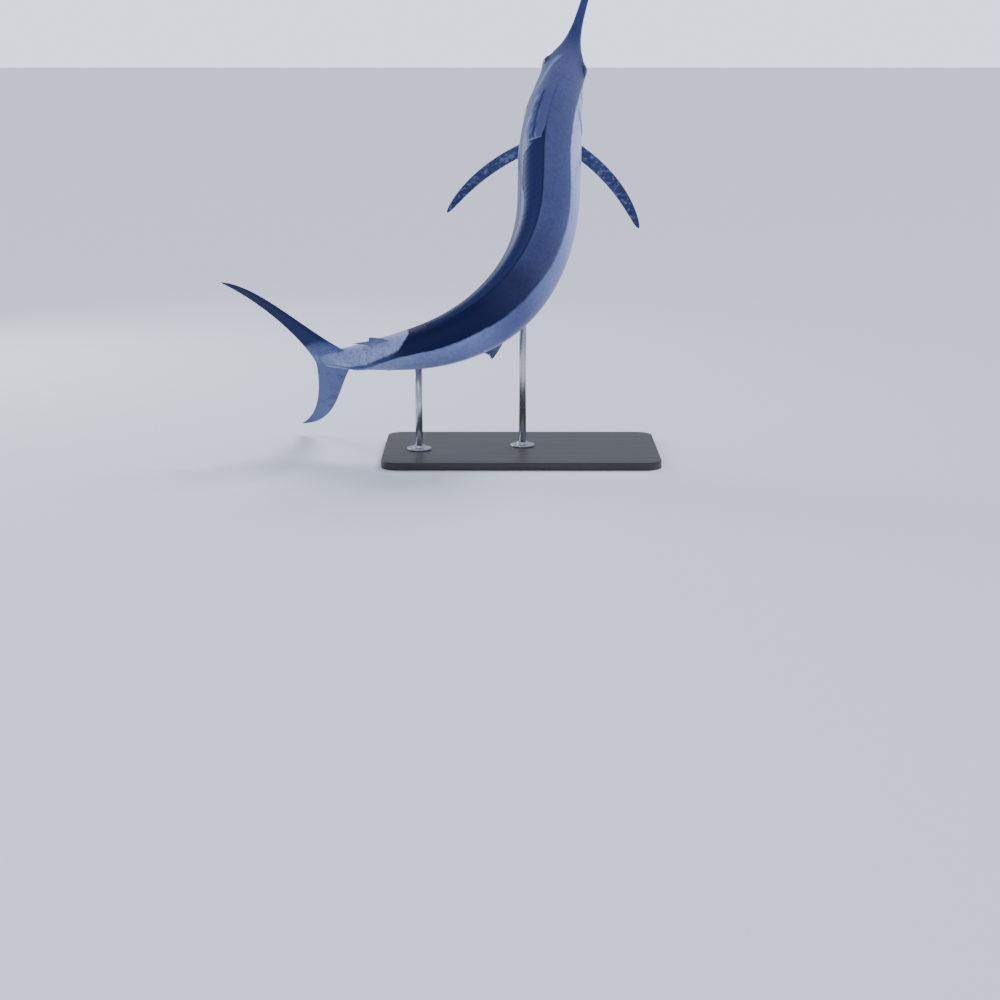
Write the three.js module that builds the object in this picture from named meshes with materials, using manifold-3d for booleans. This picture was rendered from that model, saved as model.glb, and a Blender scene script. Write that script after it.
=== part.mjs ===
// A black marlin in mid leap, life size, on a plain display stand.
// Millimetres, +Z up. The origin is the middle of the stand's underside.
// The animal is seen from its back when looking along +Y: head up, tail swung to its left (-X).
import * as THREE from "three";
import { mergeVertices } from "three/addons/utils/BufferGeometryUtils.js";
import Module from "manifold-3d";

const wasm = await Module();
wasm.setup();

// Driving dimensions. The animal's own sizes are shares of its fork length, and a place along
// the body is the share of that length behind the tip of the lower jaw.
const FORK_LENGTH = 2200; // tip of the lower jaw to the fork of the tail fin
const BILL_TIP = -0.205;
const BILL_BASE = 0.03;
const HEAD_END = 0.245;
const FRONT_END = 0.43;
const MIDDLE_END = 0.61;
const REAR_END = 0.79;
const STEM_END = 0.955; // the tail stem runs into the tail fin here
const MEETING_GAP = 0.3; // between pieces that touch

// The pose: where the shoulder is, where the body points there, and how it bends from there on.
const SHOULDER = {
  at: 0.3, place: new THREE.Vector3(120, 65, 1212), rise: 66.2, compass: 84.3, roll: 2.2,
};
const NECK_TURN = { degrees: 15, from: 0.05, to: 0.36 }; // head towards the animal's right
const BODY_BEND = { degrees: 91.5, from: 0.31, to: 0.87 }; // tail towards the animal's left
const HEAD_TWIST = { degrees: 8, from: 0.1, to: 0.3 }; // back rolled towards the animal's left
const TAIL_TWIST = { degrees: 28, from: 0.4, to: 0.8 };

// The body's lines: place, height of the back, depth of the belly, half width.
const BODY_LINES = [
  [BILL_TIP, 0.0011, 0.0011, 0.0013],
  [-0.1, 0.0045, 0.0041, 0.0054],
  [0, 0.0074, 0.0068, 0.0094],
  [0.03, 0.0124, 0.0132, 0.0134],
  [0.055, 0.022, 0.0215, 0.0205],
  [0.08, 0.0345, 0.032, 0.0322],
  [0.1, 0.046, 0.0405, 0.0397],
  [0.15, 0.078, 0.059, 0.0458],
  [0.2, 0.1, 0.0725, 0.0525],
  [0.25, 0.1075, 0.0805, 0.0575],
  [0.3, 0.107, 0.0842, 0.0597],
  [0.4, 0.1015, 0.085, 0.057],
  [0.5, 0.0915, 0.08, 0.0525],
  [0.6, 0.077, 0.0695, 0.047],
  [0.7, 0.0605, 0.0555, 0.0398],
  [0.8, 0.0455, 0.043, 0.0325],
  [0.88, 0.0325, 0.0315, 0.0255],
  [0.93, 0.0262, 0.0258, 0.0185],
  [STEM_END, 0.027, 0.0265, 0.0115],
];
const SECTION_ROUNDNESS = 2.15; // 2 is an ellipse, more is fuller at the corners
const SECTION_SIDES = 30;
const ROW_STEP = 0.0145; // distance between rings of the body, as a share
const BILL_STEP = 0.0215;

// Head.
const JAW_CORNER = 0.125;
const MOUTH_LINE = { tip: 0.0062, corner: 0.024, gap: 2.4 }; // depths below the axis, share; gap in mm
const EYE = { at: 0.101, height: 0.014, radius: 30, depth: 16, proud: 10 };
const EYE_RIM = { radius: 30, tube: 5 };
const NOSTRILS = { places: [0.078, 0.085], height: 0.016, radius: 3.2 };
const SIDE_TILT = 0.24; // how far eyes and nostrils look up
const CHEEK = { front: 0.128, rear: 0.168, bow: 0.018, top: 62, bottom: 142, thin: 0.6, thick: 4 };
const GILL_COVER = { front: 0.15, rear: 0.226, bow: 0.036, top: 50, bottom: 156, thin: 1, thick: 5 };

// The first dorsal fin lies folded over the animal's left side. Ray lengths and sweeps go along
// the whole base. The tall front lobe lies over the start of the long low part, which is made in
// two lengths.
const FOLDED_DORSAL = {
  root: 12, rows: 4, web: 0.95, thick: [5, 1.6], bed: 1,
  lengths: [[0.168, 0.045], [0.176, 0.072], [0.188, 0.095], [0.203, 0.091], [0.222, 0.0705], [0.24, 0.049],
    [0.262, 0.0265], [0.272, 0.055], [0.32, 0.055], [0.38, 0.042], [0.45, 0.037], [0.56, 0.031],
    [0.735, 0.012]],
  sweep: [[0.168, 54], [0.176, 62], [0.188, 68], [0.206, 70], [0.24, 75], [0.262, 80], [0.272, 45], [0.38, 42], [0.735, 46]],
  front: { from: 0.168, to: 0.262, rays: 11, lift: 13 },
  middle: { from: 0.272, to: 0.52, rays: 13, lift: 5 },
  rear: { from: 0.52, to: 0.735, rays: 11, lift: 5 },
};

// Other fins on the midline: base, ray count, ray lengths along the base, and how far the rays
// are swept back and lean to the animal's left.
const SECOND_DORSAL = {
  from: 0.826, to: 0.868, rays: 7, above: 1, sweep: [56, 74], lean: 8, thick: [3, 1],
  lengths: [[0, 0.014], [0.2, 0.032], [0.55, 0.022], [1, 0.036]],
};
const FIRST_ANAL = {
  from: 0.6, to: 0.695, rays: 13, above: -1, sweep: [46, 50], lean: 4, thick: [4, 1.2],
  lengths: [[0, 0.03], [0.14, 0.088], [0.35, 0.062], [0.65, 0.034], [1, 0.016]],
};
const SECOND_ANAL = {
  from: 0.842, to: 0.884, rays: 7, above: -1, sweep: [42, 66], lean: 6, thick: [3, 1],
  lengths: [[0, 0.016], [0.2, 0.034], [0.55, 0.022], [1, 0.03]],
};

// Paired fins.
const PECTORAL = {
  at: 0.246, turn: 112, length: 0.212, chord: 0.0265, rays: 8, droop: 8, pitch: -8, thick: [9, 1.6],
  leftSweep: [27, 66], rightSweep: [32, 70],
};
const PELVIC = { at: 0.262, turn: 166, length: 0.088, chord: 0.006, lift: 9, thick: [3, 1.2] };

// Tail fin, in the plane of the midline: edge curves as places and heights, in shares.
const TAIL = { rays: 9, thick: [26, 3], ridge: 1.3 };
const TAIL_UPPER = {
  leading: [[0.905, 0], [0.97, 0.045], [1, 0.232], [1.113, 0.212]],
  trailing: [[1.006, 0], [0.995, 0.05], [1.02, 0.166], [1.113, 0.212]],
  flex: 120,
};
const TAIL_LOWER = {
  leading: [[0.905, 0], [0.975, 0.025], [1.05, 0.215], [1.144, 0.196]],
  trailing: [[1.006, 0], [1.012, 0.02], [1.075, 0.17], [1.144, 0.196]],
  flex: 0,
};
const KEELS = { at: 0.914, heights: [0.0085, -0.0085], half: [0.038, 0.0042, 0.0062], side: 0.019 };

// Stand.
const BASE = { width: 1160, depth: 720, height: 32, corner: 70, bevel: 3 };
const ROD = { radius: 15, sides: 20 };
const FOOT = { radius: 52, height: 9, bevel: 3, collar: 24, collarHeight: 10 };
const ROD_PLACES = { // each rod ends inside the body, where the skin then cuts it off
  front: { place: [8, 20], top: 930 },
  rear: { place: [-430, -62], top: 590 },
};

const radians = THREE.MathUtils.degToRad;
const mix = THREE.MathUtils.lerp;
const ease = (x, from, to) => THREE.MathUtils.smoothstep(x, from, to);

// A smooth curve through [x, y...] stations that never overshoots them.
function through(stations, column = 1) {
  const x = stations.map((s) => s[0]);
  const y = stations.map((s) => s[column]);
  const slope = x.slice(1).map((v, i) => (y[i + 1] - y[i]) / (v - x[i]));
  const tangent = x.map((_, i) => {
    if (i === 0) return slope[0];
    if (i === x.length - 1) return slope[i - 1];
    const [a, b] = [slope[i - 1], slope[i]];
    return a * b <= 0 ? 0 : (2 * a * b) / (a + b);
  });
  return (at) => {
    const i = THREE.MathUtils.clamp(x.filter((v) => v <= at).length - 1, 0, x.length - 2);
    const h = x[i + 1] - x[i];
    const t = THREE.MathUtils.clamp((at - x[i]) / h, 0, 1);
    const [t2, t3] = [t * t, t * t * t];
    return (2 * t3 - 3 * t2 + 1) * y[i] + (t3 - 2 * t2 + t) * h * tangent[i]
      + (3 * t2 - 2 * t3) * y[i + 1] + (t3 - t2) * h * tangent[i + 1];
  };
}

// The backbone: frames along the body, each with its place and the directions towards the tail,
// the back and the animal's left side, worked out from the shoulder both ways.
const BACKBONE_STEP = 0.005;
const BACKBONE_FROM = BILL_TIP - 0.02;
const BACKBONE_TO = 1.2;

const sidewaysTurn = (at) => radians(
  NECK_TURN.degrees * ease(at, NECK_TURN.from, NECK_TURN.to)
  - BODY_BEND.degrees * ease(at, BODY_BEND.from, BODY_BEND.to));
const twist = (at) => radians(
  HEAD_TWIST.degrees * ease(at, HEAD_TWIST.from, HEAD_TWIST.to)
  + TAIL_TWIST.degrees * ease(at, TAIL_TWIST.from, TAIL_TWIST.to));

function shoulderFrame() {
  const [rise, compass] = [radians(SHOULDER.rise), radians(SHOULDER.compass)];
  const ahead = new THREE.Vector3(
    Math.cos(rise) * Math.cos(compass), Math.cos(rise) * Math.sin(compass), Math.sin(rise));
  const tailward = ahead.clone().negate();
  const up = new THREE.Vector3(0, 0, 1).addScaledVector(ahead, -ahead.z).normalize()
    .applyAxisAngle(tailward, radians(SHOULDER.roll));
  const left = tailward.clone().cross(up);
  return { place: SHOULDER.place.clone(), tailward, up, left };
}

function stepFrom(frame, at, next) {
  const turned = (v) => v.clone()
    .applyAxisAngle(frame.up, sidewaysTurn(next) - sidewaysTurn(at))
    .applyAxisAngle(frame.tailward, twist(next) - twist(at));
  const tailward = turned(frame.tailward).normalize();
  const up = turned(frame.up);
  up.addScaledVector(tailward, -up.dot(tailward)).normalize();
  const place = frame.place.clone()
    .addScaledVector(frame.tailward.clone().add(tailward).normalize(), (next - at) * FORK_LENGTH);
  return { place, tailward, up, left: tailward.clone().cross(up) };
}

function makeBackbone() {
  const run = (limit, step) => {
    const frames = [];
    let frame = shoulderFrame();
    for (let at = SHOULDER.at; step > 0 ? at < limit : at > limit; at += step) {
      frame = stepFrom(frame, at, at + step);
      frames.push({ at: at + step, ...frame });
    }
    return frames;
  };
  return [
    ...run(BACKBONE_FROM, -BACKBONE_STEP).reverse(),
    { at: SHOULDER.at, ...shoulderFrame() },
    ...run(BACKBONE_TO, BACKBONE_STEP),
  ];
}
const backbone = makeBackbone();

function frameAt(at) {
  const steps = (at - backbone[0].at) / BACKBONE_STEP;
  const i = THREE.MathUtils.clamp(Math.floor(steps), 0, backbone.length - 2);
  const [a, b, t] = [backbone[i], backbone[i + 1], steps - i];
  const blend = (key) => a[key].clone().lerp(b[key], t);
  return {
    place: blend("place"),
    tailward: blend("tailward").normalize(),
    up: blend("up").normalize(),
    left: blend("left").normalize(),
  };
}

// A point given by its place along the body, and millimetres above and left of the backbone.
function bodyPoint(at, above, left) {
  const frame = frameAt(at);
  return frame.place.addScaledVector(frame.up, above).addScaledVector(frame.left, left);
}

const backLine = through(BODY_LINES, 1);
const bellyLine = through(BODY_LINES, 2);
const sideLine = through(BODY_LINES, 3);

// The skin: turn is measured round the section from the back (0) over the left side (90)
// to the belly (180). A proud skin stands off the body by that many millimetres.
function skinOffsets(at, turnDegrees, proud = 0) {
  const turn = radians(turnDegrees);
  const power = 2 / SECTION_ROUNDNESS;
  const [c, s] = [Math.cos(turn), Math.sin(turn)];
  const high = (c >= 0 ? backLine(at) : bellyLine(at)) * FORK_LENGTH;
  const wide = sideLine(at) * FORK_LENGTH;
  const above = high * Math.sign(c) * Math.abs(c) ** power;
  const left = wide * Math.sign(s) * Math.abs(s) ** power;
  const outward = new THREE.Vector2(above / high ** 2, left / wide ** 2).normalize();
  return { above: above + proud * outward.x, left: left + proud * outward.y, outward };
}

function skinPoint(at, turnDegrees, proud = 0) {
  const { above, left } = skinOffsets(at, turnDegrees, proud);
  return bodyPoint(at, above, left);
}

function skinNormal(at, turnDegrees) {
  const frame = frameAt(at);
  const { outward } = skinOffsets(at, turnDegrees);
  return frame.up.multiplyScalar(outward.x).addScaledVector(frame.left, outward.y);
}

// The turn at which the upper skin is a given distance left of the midline.
function turnAt(at, left) {
  const share = Math.abs(left) / (sideLine(at) * FORK_LENGTH);
  const turn = Math.asin(Math.min(1, share) ** (SECTION_ROUNDNESS / 2));
  return THREE.MathUtils.radToDeg(turn) * Math.sign(left);
}

// Closed solids. Points and faces become a solid whose faces point outwards.
function solid(points, faces) {
  const vertProperties = new Float32Array(points.flatMap((p) => [p.x, p.y, p.z]));
  const volume = faces.reduce((sum, [a, b, c]) =>
    sum + points[a].dot(points[b].clone().cross(points[c])), 0);
  const wound = volume < 0 ? faces.map(([a, b, c]) => [a, c, b]) : faces;
  return new wasm.Manifold(
    new wasm.Mesh({ numProp: 3, vertProperties, triVerts: new Uint32Array(wound.flat()) }));
}

function solidFromGeometry(geometry) {
  const bare = geometry.clone();
  ["normal", "uv"].forEach((name) => bare.deleteAttribute(name));
  const merged = mergeVertices(bare, 1e-3);
  const place = merged.attributes.position;
  const points = Array.from({ length: place.count }, (_, i) =>
    new THREE.Vector3().fromBufferAttribute(place, i));
  const index = Array.from(merged.index.array);
  const faces = Array.from({ length: index.length / 3 }, (_, i) => index.slice(3 * i, 3 * i + 3))
    .filter(([a, b, c]) => a !== b && b !== c && c !== a);
  return solid(points, faces);
}

const largest = (made) => made.decompose().reduce((a, b) => (a.volume() > b.volume() ? a : b));

// Rings of equal count joined in a row, closed at both ends by a fan round each ring's middle.
function ringSolid(rings) {
  const sides = rings[0].length;
  const points = rings.flat();
  const faces = [];
  const at = (row, side) => row * sides + (side % sides);
  for (let row = 0; row < rings.length - 1; row += 1) {
    for (let side = 0; side < sides; side += 1) {
      faces.push([at(row, side), at(row, side + 1), at(row + 1, side + 1)]);
      faces.push([at(row, side), at(row + 1, side + 1), at(row + 1, side)]);
    }
  }
  [0, rings.length - 1].forEach((row) => {
    const middle = rings[row].reduce((sum, p) => sum.add(p), new THREE.Vector3()).divideScalar(sides);
    points.push(middle);
    for (let side = 0; side < sides; side += 1) {
      const pair = row === 0 ? [at(row, side + 1), at(row, side)] : [at(row, side), at(row, side + 1)];
      faces.push([points.length - 1, ...pair]);
    }
  });
  return solid(points, faces);
}

// A thin solid over a grid: middle(i, j) gives its middle surface, and half(i, j) half its
// thickness along across(i, j). Both faces are split into the same triangles.
function sheetSolid(columns, rows, middle, across, half) {
  const points = [];
  [1, -1].forEach((face) => {
    for (let j = 0; j <= rows; j += 1) {
      for (let i = 0; i <= columns; i += 1) {
        points.push(middle(i, j).addScaledVector(across(i, j), face * half(i, j)));
      }
    }
  });
  const count = (columns + 1) * (rows + 1);
  const at = (i, j, face) => face * count + j * (columns + 1) + i;
  const faces = [];
  for (let j = 0; j < rows; j += 1) {
    for (let i = 0; i < columns; i += 1) {
      [0, 1].forEach((face) => {
        const [a, b, c, d] = [at(i, j, face), at(i + 1, j, face), at(i + 1, j + 1, face), at(i, j + 1, face)];
        faces.push(...(face ? [[a, c, b], [a, d, c]] : [[a, b, c], [a, c, d]]));
      });
    }
  }
  const wall = (a, b) => faces.push([a, b + count, b], [a, a + count, b + count]);
  for (let i = 0; i < columns; i += 1) {
    wall(at(i, 0, 0), at(i + 1, 0, 0));
    wall(at(i + 1, rows, 0), at(i, rows, 0));
  }
  for (let j = 0; j < rows; j += 1) {
    wall(at(0, j + 1, 0), at(0, j, 0));
    wall(at(columns, j, 0), at(columns, j + 1, 0));
  }
  return solid(points, faces);
}

// A length of the body between two places, ringed at the same spacing as its neighbours.
function bodyRing(at, proud = 0) {
  return Array.from({ length: SECTION_SIDES }, (_, side) =>
    skinPoint(at, (360 * side) / SECTION_SIDES, proud));
}

function places(from, to, step = ROW_STEP) {
  const count = Math.max(1, Math.round((to - from) / step));
  return Array.from({ length: count + 1 }, (_, i) => mix(from, to, i / count));
}

const HALF_GAP = MEETING_GAP / 2 / FORK_LENGTH;

function bodyLength(from, to, step = ROW_STEP) {
  const row = places(from, to, step);
  row[0] += HALF_GAP;
  row[row.length - 1] -= HALF_GAP;
  return ringSolid(row.map((at) => bodyRing(at)));
}

// The body's outside with the meeting gap added, which fins and rods are cut with.
function bodyClearance() {
  const joints = [BILL_BASE, HEAD_END, FRONT_END, MIDDLE_END, REAR_END, STEM_END];
  const row = joints.slice(1).flatMap((to, i) => places(joints[i], to).slice(i ? 1 : 0));
  row[row.length - 1] += MEETING_GAP / FORK_LENGTH;
  return ringSolid(row.map((at) => bodyRing(at, MEETING_GAP)));
}
const clearance = bodyClearance();
const clearOfBody = (made) => largest(made.subtract(clearance));

// Head: the mouth parts the lower jaw from the bill and the head.
const mouthDepth = (at) =>
  FORK_LENGTH * mix(MOUTH_LINE.tip, MOUTH_LINE.corner, ease(at, 0, JAW_CORNER));

// Everything below the mouth line, from the jaw's tip back to its corner.
function belowMouth(shift, end) {
  const [front, wide, deep] = [-0.02, 160, 260];
  const row = Array.from({ length: 9 }, (_, i) => mix(front, end, i / 8));
  return ringSolid(row.map((at) => {
    const top = -mouthDepth(at) + shift;
    return [[top, -wide], [top, wide], [-deep, wide], [-deep, -wide]]
      .map(([above, left]) => bodyPoint(at, above, left));
  }));
}

function coverPlate(plate, side) {
  const [columns, rows, sunk] = [7, 8, 9];
  const spread = (j) => 2 * (j / rows) - 1;
  const place = (i, j) =>
    mix(plate.front + 0.3 * plate.bow * spread(j) ** 2, plate.rear - plate.bow * spread(j) ** 2,
      i / columns);
  const turn = (j) => side * mix(plate.top, plate.bottom, j / rows);
  const outer = (i, j) => mix(plate.thin, plate.thick, i / columns) * (1 - 0.5 * spread(j) ** 4);
  const middle = (i, j) => skinPoint(place(i, j), turn(j), (outer(i, j) - sunk) / 2);
  const across = (i, j) => skinNormal(place(i, j), turn(j));
  return sheetSolid(columns, rows, middle, across, (i, j) => (outer(i, j) + sunk) / 2);
}

// A shape centred on the skin of the head, turned so that its Z axis points out of the skin.
function setOnSide(geometry, at, height, side, proud) {
  const frame = frameAt(at);
  const wide = sideLine(at) * FORK_LENGTH;
  const high = backLine(at) * FORK_LENGTH;
  const lift = height * FORK_LENGTH;
  const reach = wide * (1 - (lift / high) ** SECTION_ROUNDNESS) ** (1 / SECTION_ROUNDNESS);
  const ahead = frameAt(at - 0.02);
  const flare = (sideLine(at + 0.015) - sideLine(at - 0.015)) / 0.03;
  const outward = frame.left.clone().multiplyScalar(side).addScaledVector(ahead.tailward, -flare)
    .addScaledVector(frame.up, SIDE_TILT).normalize();
  const along = frame.tailward.clone().addScaledVector(outward, -frame.tailward.dot(outward)).normalize();
  const matrix = new THREE.Matrix4().makeBasis(along, outward.clone().cross(along), outward);
  matrix.setPosition(bodyPoint(at, lift, side * reach).addScaledVector(outward, proud));
  return solidFromGeometry(geometry.applyMatrix4(matrix));
}

function eyeBall(side, extra = 0) {
  const ball = new THREE.SphereGeometry(1, 18, 10)
    .scale(EYE.radius + extra, EYE.radius + extra, EYE.depth + extra);
  return setOnSide(ball, EYE.at, EYE.height, side, EYE.proud - EYE.depth);
}

function eyeRim(side) {
  const rim = new THREE.TorusGeometry(EYE_RIM.radius, EYE_RIM.tube, 6, 22);
  return setOnSide(rim, EYE.at, EYE.height, side, -1);
}

function nostril(at, side) {
  return setOnSide(new THREE.SphereGeometry(NOSTRILS.radius, 8, 6), at, NOSTRILS.height, side, 0);
}

function head() {
  let made = bodyLength(BILL_BASE, HEAD_END);
  [1, -1].forEach((side) => {
    made = made.add(coverPlate(CHEEK, side)).add(coverPlate(GILL_COVER, side)).add(eyeRim(side));
    made = made.subtract(eyeBall(side, MEETING_GAP));
    NOSTRILS.places.forEach((at) => {
      made = made.subtract(nostril(at, side));
    });
  });
  return largest(made.subtract(belowMouth(MOUTH_LINE.gap / 2, JAW_CORNER)));
}

function bill() {
  const made = bodyLength(BILL_TIP, BILL_BASE, BILL_STEP);
  return largest(made.subtract(belowMouth(MOUTH_LINE.gap / 2, BILL_BASE + 0.01)));
}

function lowerJaw() {
  const whole = bodyLength(-0.01, JAW_CORNER + 0.02);
  const below = belowMouth(-MOUTH_LINE.gap / 2, JAW_CORNER - 2 * HALF_GAP);
  return largest(whole.intersect(below));
}

// Tail stem: the rear of the body with two low keels on each side.
function tailStem() {
  let made = bodyLength(REAR_END, STEM_END);
  const frame = frameAt(KEELS.at);
  const [long, tall, wide] = KEELS.half.map((share) => share * FORK_LENGTH);
  [1, -1].forEach((side) => KEELS.heights.forEach((height) => {
    const matrix = new THREE.Matrix4().makeBasis(frame.tailward, frame.up, frame.left);
    matrix.setPosition(bodyPoint(KEELS.at, height * FORK_LENGTH, side * KEELS.side * FORK_LENGTH));
    const keel = new THREE.SphereGeometry(1, 10, 6).scale(long, tall, wide).applyMatrix4(matrix);
    made = made.add(solidFromGeometry(keel));
  }));
  return largest(made);
}

// One length of the folded fin. Each ray is a ridge that lies over the skin of the animal's left
// side, a little proud of it, between two valleys of thinner skin with a slightly shorter edge.
function foldedFin({ from, to, rays, lift }) {
  const [columns, rows] = [2 * rays, FOLDED_DORSAL.rows];
  const lengthAt = through(FOLDED_DORSAL.lengths);
  const sweepAt = through(FOLDED_DORSAL.sweep);
  const isRay = (i) => i % 2 === 0;
  const out = (j) => Math.max(0, j - 1) / (rows - 1);
  const spot = (i, j) => {
    const base = mix(from + 4 * HALF_GAP, to, i / columns);
    const sweep = radians(sweepAt(base));
    const long = lengthAt(base) * (isRay(i) ? 1 : FOLDED_DORSAL.web) * out(j);
    const at = base + long * Math.sin(sweep);
    const left = j === 0 ? -FOLDED_DORSAL.root / 2 : long * Math.cos(sweep) * FORK_LENGTH;
    return [at, turnAt(at, left)];
  };
  const middle = (i, j) => {
    const proud = mix(FOLDED_DORSAL.bed, lift, Math.sin(0.75 * Math.PI * out(j)));
    return skinPoint(...spot(i, j), j === 0 ? -FOLDED_DORSAL.root : proud);
  };
  const half = (i, j) => {
    const thick = mix(...FOLDED_DORSAL.thick, out(j));
    return (isRay(i) ? thick : Math.max(0.8, 0.45 * thick)) / 2;
  };
  return clearOfBody(sheetSolid(columns, rows, middle, (i, j) => skinNormal(...spot(i, j)), half));
}

// A fin on the midline. Its rays stand on the back or the belly, and each is a ridge between two
// valleys of thinner skin whose edge falls a little short of the ray's tip.
function midlineFin(fin) {
  const [columns, rows, root, web] = [2 * fin.rays, 5, 14, 0.93];
  const lengthAt = through(fin.lengths);
  const share = (i) => i / columns;
  const isRay = (i) => i % 2 === 0;
  const ray = (i) => {
    const frame = frameAt(mix(fin.from, fin.to, share(i)));
    const sweep = radians(mix(fin.sweep[0], fin.sweep[1], share(i)));
    const lean = radians(fin.lean);
    const away = frame.up.clone().multiplyScalar(fin.above * Math.cos(lean))
      .addScaledVector(frame.left, Math.sin(lean));
    const along = away.clone().multiplyScalar(Math.cos(sweep))
      .addScaledVector(frame.tailward, Math.sin(sweep));
    return { away, along, flat: frame.tailward.clone().cross(away).normalize() };
  };
  const foot = (i) => skinPoint(mix(fin.from, fin.to, share(i)), fin.above > 0 ? 0 : 180, -2);
  const middle = (i, j) => {
    const { along, away } = ray(i);
    if (j === 0) return foot(i).addScaledVector(away, -root);
    const long = lengthAt(share(i)) * FORK_LENGTH * (isRay(i) ? 1 : web);
    return foot(i).addScaledVector(along, (long * (j - 1)) / (rows - 1));
  };
  const half = (i, j) => {
    const thick = mix(fin.thick[0], fin.thick[1], Math.max(0, j - 1) / (rows - 1));
    return (isRay(i) ? thick : Math.max(0.8, 0.5 * thick)) / 2;
  };
  return clearOfBody(sheetSolid(columns, rows, middle, (i) => ray(i).flat, half));
}

// A pectoral fin, held out like a wing: its middle line curves back from root to tip.
function pectoralFin(side, sweeps) {
  const [columns, rows] = [2 * PECTORAL.rays, 11];
  const frame = frameAt(PECTORAL.at);
  const droop = radians(PECTORAL.droop);
  const out = frame.left.clone().multiplyScalar(side * Math.cos(droop))
    .addScaledVector(frame.up, -Math.sin(droop));
  const pitch = radians(PECTORAL.pitch);
  const back = frame.tailward.clone().multiplyScalar(Math.cos(pitch))
    .addScaledVector(frame.up, -Math.sin(pitch)).normalize();
  const flat = out.clone().cross(back).normalize();
  const root = skinPoint(PECTORAL.at, side * PECTORAL.turn, -26);
  const span = PECTORAL.length * FORK_LENGTH;
  const line = [root];
  const headings = [];
  for (let j = 0; j <= rows; j += 1) {
    const sweep = radians(mix(...sweeps, (j / rows) ** 1.2));
    headings.push(sweep);
    const along = out.clone().multiplyScalar(Math.cos(sweep)).addScaledVector(back, Math.sin(sweep));
    line.push(line[j].clone().addScaledVector(along, span / rows));
  }
  const chordAt = (t) => PECTORAL.chord * FORK_LENGTH * Math.sqrt(Math.max(0, 1 - t ** 2.2)) + 3 * t;
  const middle = (i, j) => {
    const [sweep, t] = [headings[j], i / columns];
    const behind = back.clone().multiplyScalar(Math.cos(sweep)).addScaledVector(out, -Math.sin(sweep));
    return line[j].clone().addScaledVector(behind, (t - 0.35) * chordAt(j / rows));
  };
  const half = (i, j) => {
    const t = i / columns;
    const body = mix(PECTORAL.thick[0], PECTORAL.thick[1], j / rows);
    const profile = body * Math.sqrt(Math.max(0.02, 1 - ((t - 0.3) / (t < 0.3 ? 0.32 : 0.72)) ** 2));
    return (Math.max(1, profile) * (i % 2 ? 1 : 0.86)) / 2;
  };
  return clearOfBody(sheetSolid(columns, rows, middle, () => flat, half));
}

// A pelvic fin: a narrow blade of a few joined rays that trails along the belly.
function pelvicFin(side) {
  const [columns, rows] = [4, 8];
  const { tailward } = frameAt(PELVIC.at);
  const off = skinNormal(PELVIC.at, side * PELVIC.turn);
  const root = skinPoint(PELVIC.at, side * PELVIC.turn, -8);
  const lift = radians(PELVIC.lift);
  const along = tailward.clone().multiplyScalar(Math.cos(lift)).addScaledVector(off, Math.sin(lift));
  const across = along.clone().cross(off).normalize();
  const flat = across.clone().cross(along).normalize();
  const wide = (t) => PELVIC.chord * FORK_LENGTH * (1 - 0.75 * t);
  const middle = (i, j) => root.clone()
    .addScaledVector(along, (PELVIC.length * FORK_LENGTH * j) / rows)
    .addScaledVector(across, (i / columns - 0.5) * wide(j / rows));
  const half = (i, j) => (mix(PELVIC.thick[0], PELVIC.thick[1], j / rows) * (i % 2 ? 0.7 : 1)) / 2;
  return clearOfBody(sheetSolid(columns, rows, middle, () => flat, half));
}

// One lobe of the tail fin, from the midline out to its tip, with rays along its length.
function tailLobe(above, lobe) {
  const curve = (pairs) => new THREE.CubicBezierCurve(...pairs.map((pair) => new THREE.Vector2(...pair)));
  const [leading, trailing] = [curve(lobe.leading), curve(lobe.trailing)];
  const [columns, rows] = [2 * TAIL.rays, 10];
  const reach = (j) => 1 - (1 - j / rows) ** 1.25;
  const middle = (i, j) => {
    const [front, rear] = [leading.getPoint(reach(j)), trailing.getPoint(reach(j))];
    const spread = (i / columns - 0.5) * 0.0016 * reach(j);
    const at = mix(front.x, rear.x, i / columns) + spread;
    const high = mix(front.y, rear.y, i / columns) * FORK_LENGTH + MEETING_GAP / 2;
    return bodyPoint(at, above * high, lobe.flex * reach(j) ** 2);
  };
  const half = (i, j) => {
    const t = i / columns;
    const body = mix(TAIL.thick[0], TAIL.thick[1], reach(j) ** 0.6);
    const profile = body * (t < 0.3 ? Math.sqrt(1 - ((t - 0.3) / 0.34) ** 2) : mix(1, 0.12, (t - 0.3) / 0.7));
    return (Math.max(1.2, profile) + (i % 2 ? TAIL.ridge : 0) * (1 - 0.6 * reach(j))) / 2;
  };
  const left = frameAt(1).left;
  return clearOfBody(sheetSolid(columns, rows, middle, () => left, half));
}

// Stand: a flat base with rounded corners and two rods, each with a round foot.
function standBase() {
  const [x, y, r] = [BASE.width / 2 - BASE.bevel, BASE.depth / 2 - BASE.bevel, BASE.corner - BASE.bevel];
  const outline = new THREE.Shape();
  outline.moveTo(x, -y + r);
  [[x - r, y - r, 0], [-x + r, y - r, 90], [-x + r, -y + r, 180], [x - r, -y + r, 270]]
    .forEach(([cx, cy, start]) => outline.absarc(cx, cy, r, radians(start), radians(start + 90)));
  const plate = new THREE.ExtrudeGeometry(outline, {
    depth: BASE.height - 2 * BASE.bevel, bevelThickness: BASE.bevel, bevelSize: BASE.bevel,
    bevelSegments: 1, curveSegments: 6,
  });
  return solidFromGeometry(plate.translate(0, 0, BASE.bevel));
}

function turned(outline, [x, y]) {
  const profile = outline.map(([radius, z]) => new THREE.Vector2(radius, z));
  const shape = new THREE.LatheGeometry(profile, ROD.sides).rotateX(Math.PI / 2).translate(x, y, 0);
  return solidFromGeometry(shape);
}

const FOOT_BOTTOM = BASE.height + MEETING_GAP;
const FOOT_TOP = FOOT_BOTTOM + FOOT.height + FOOT.collarHeight;

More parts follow.
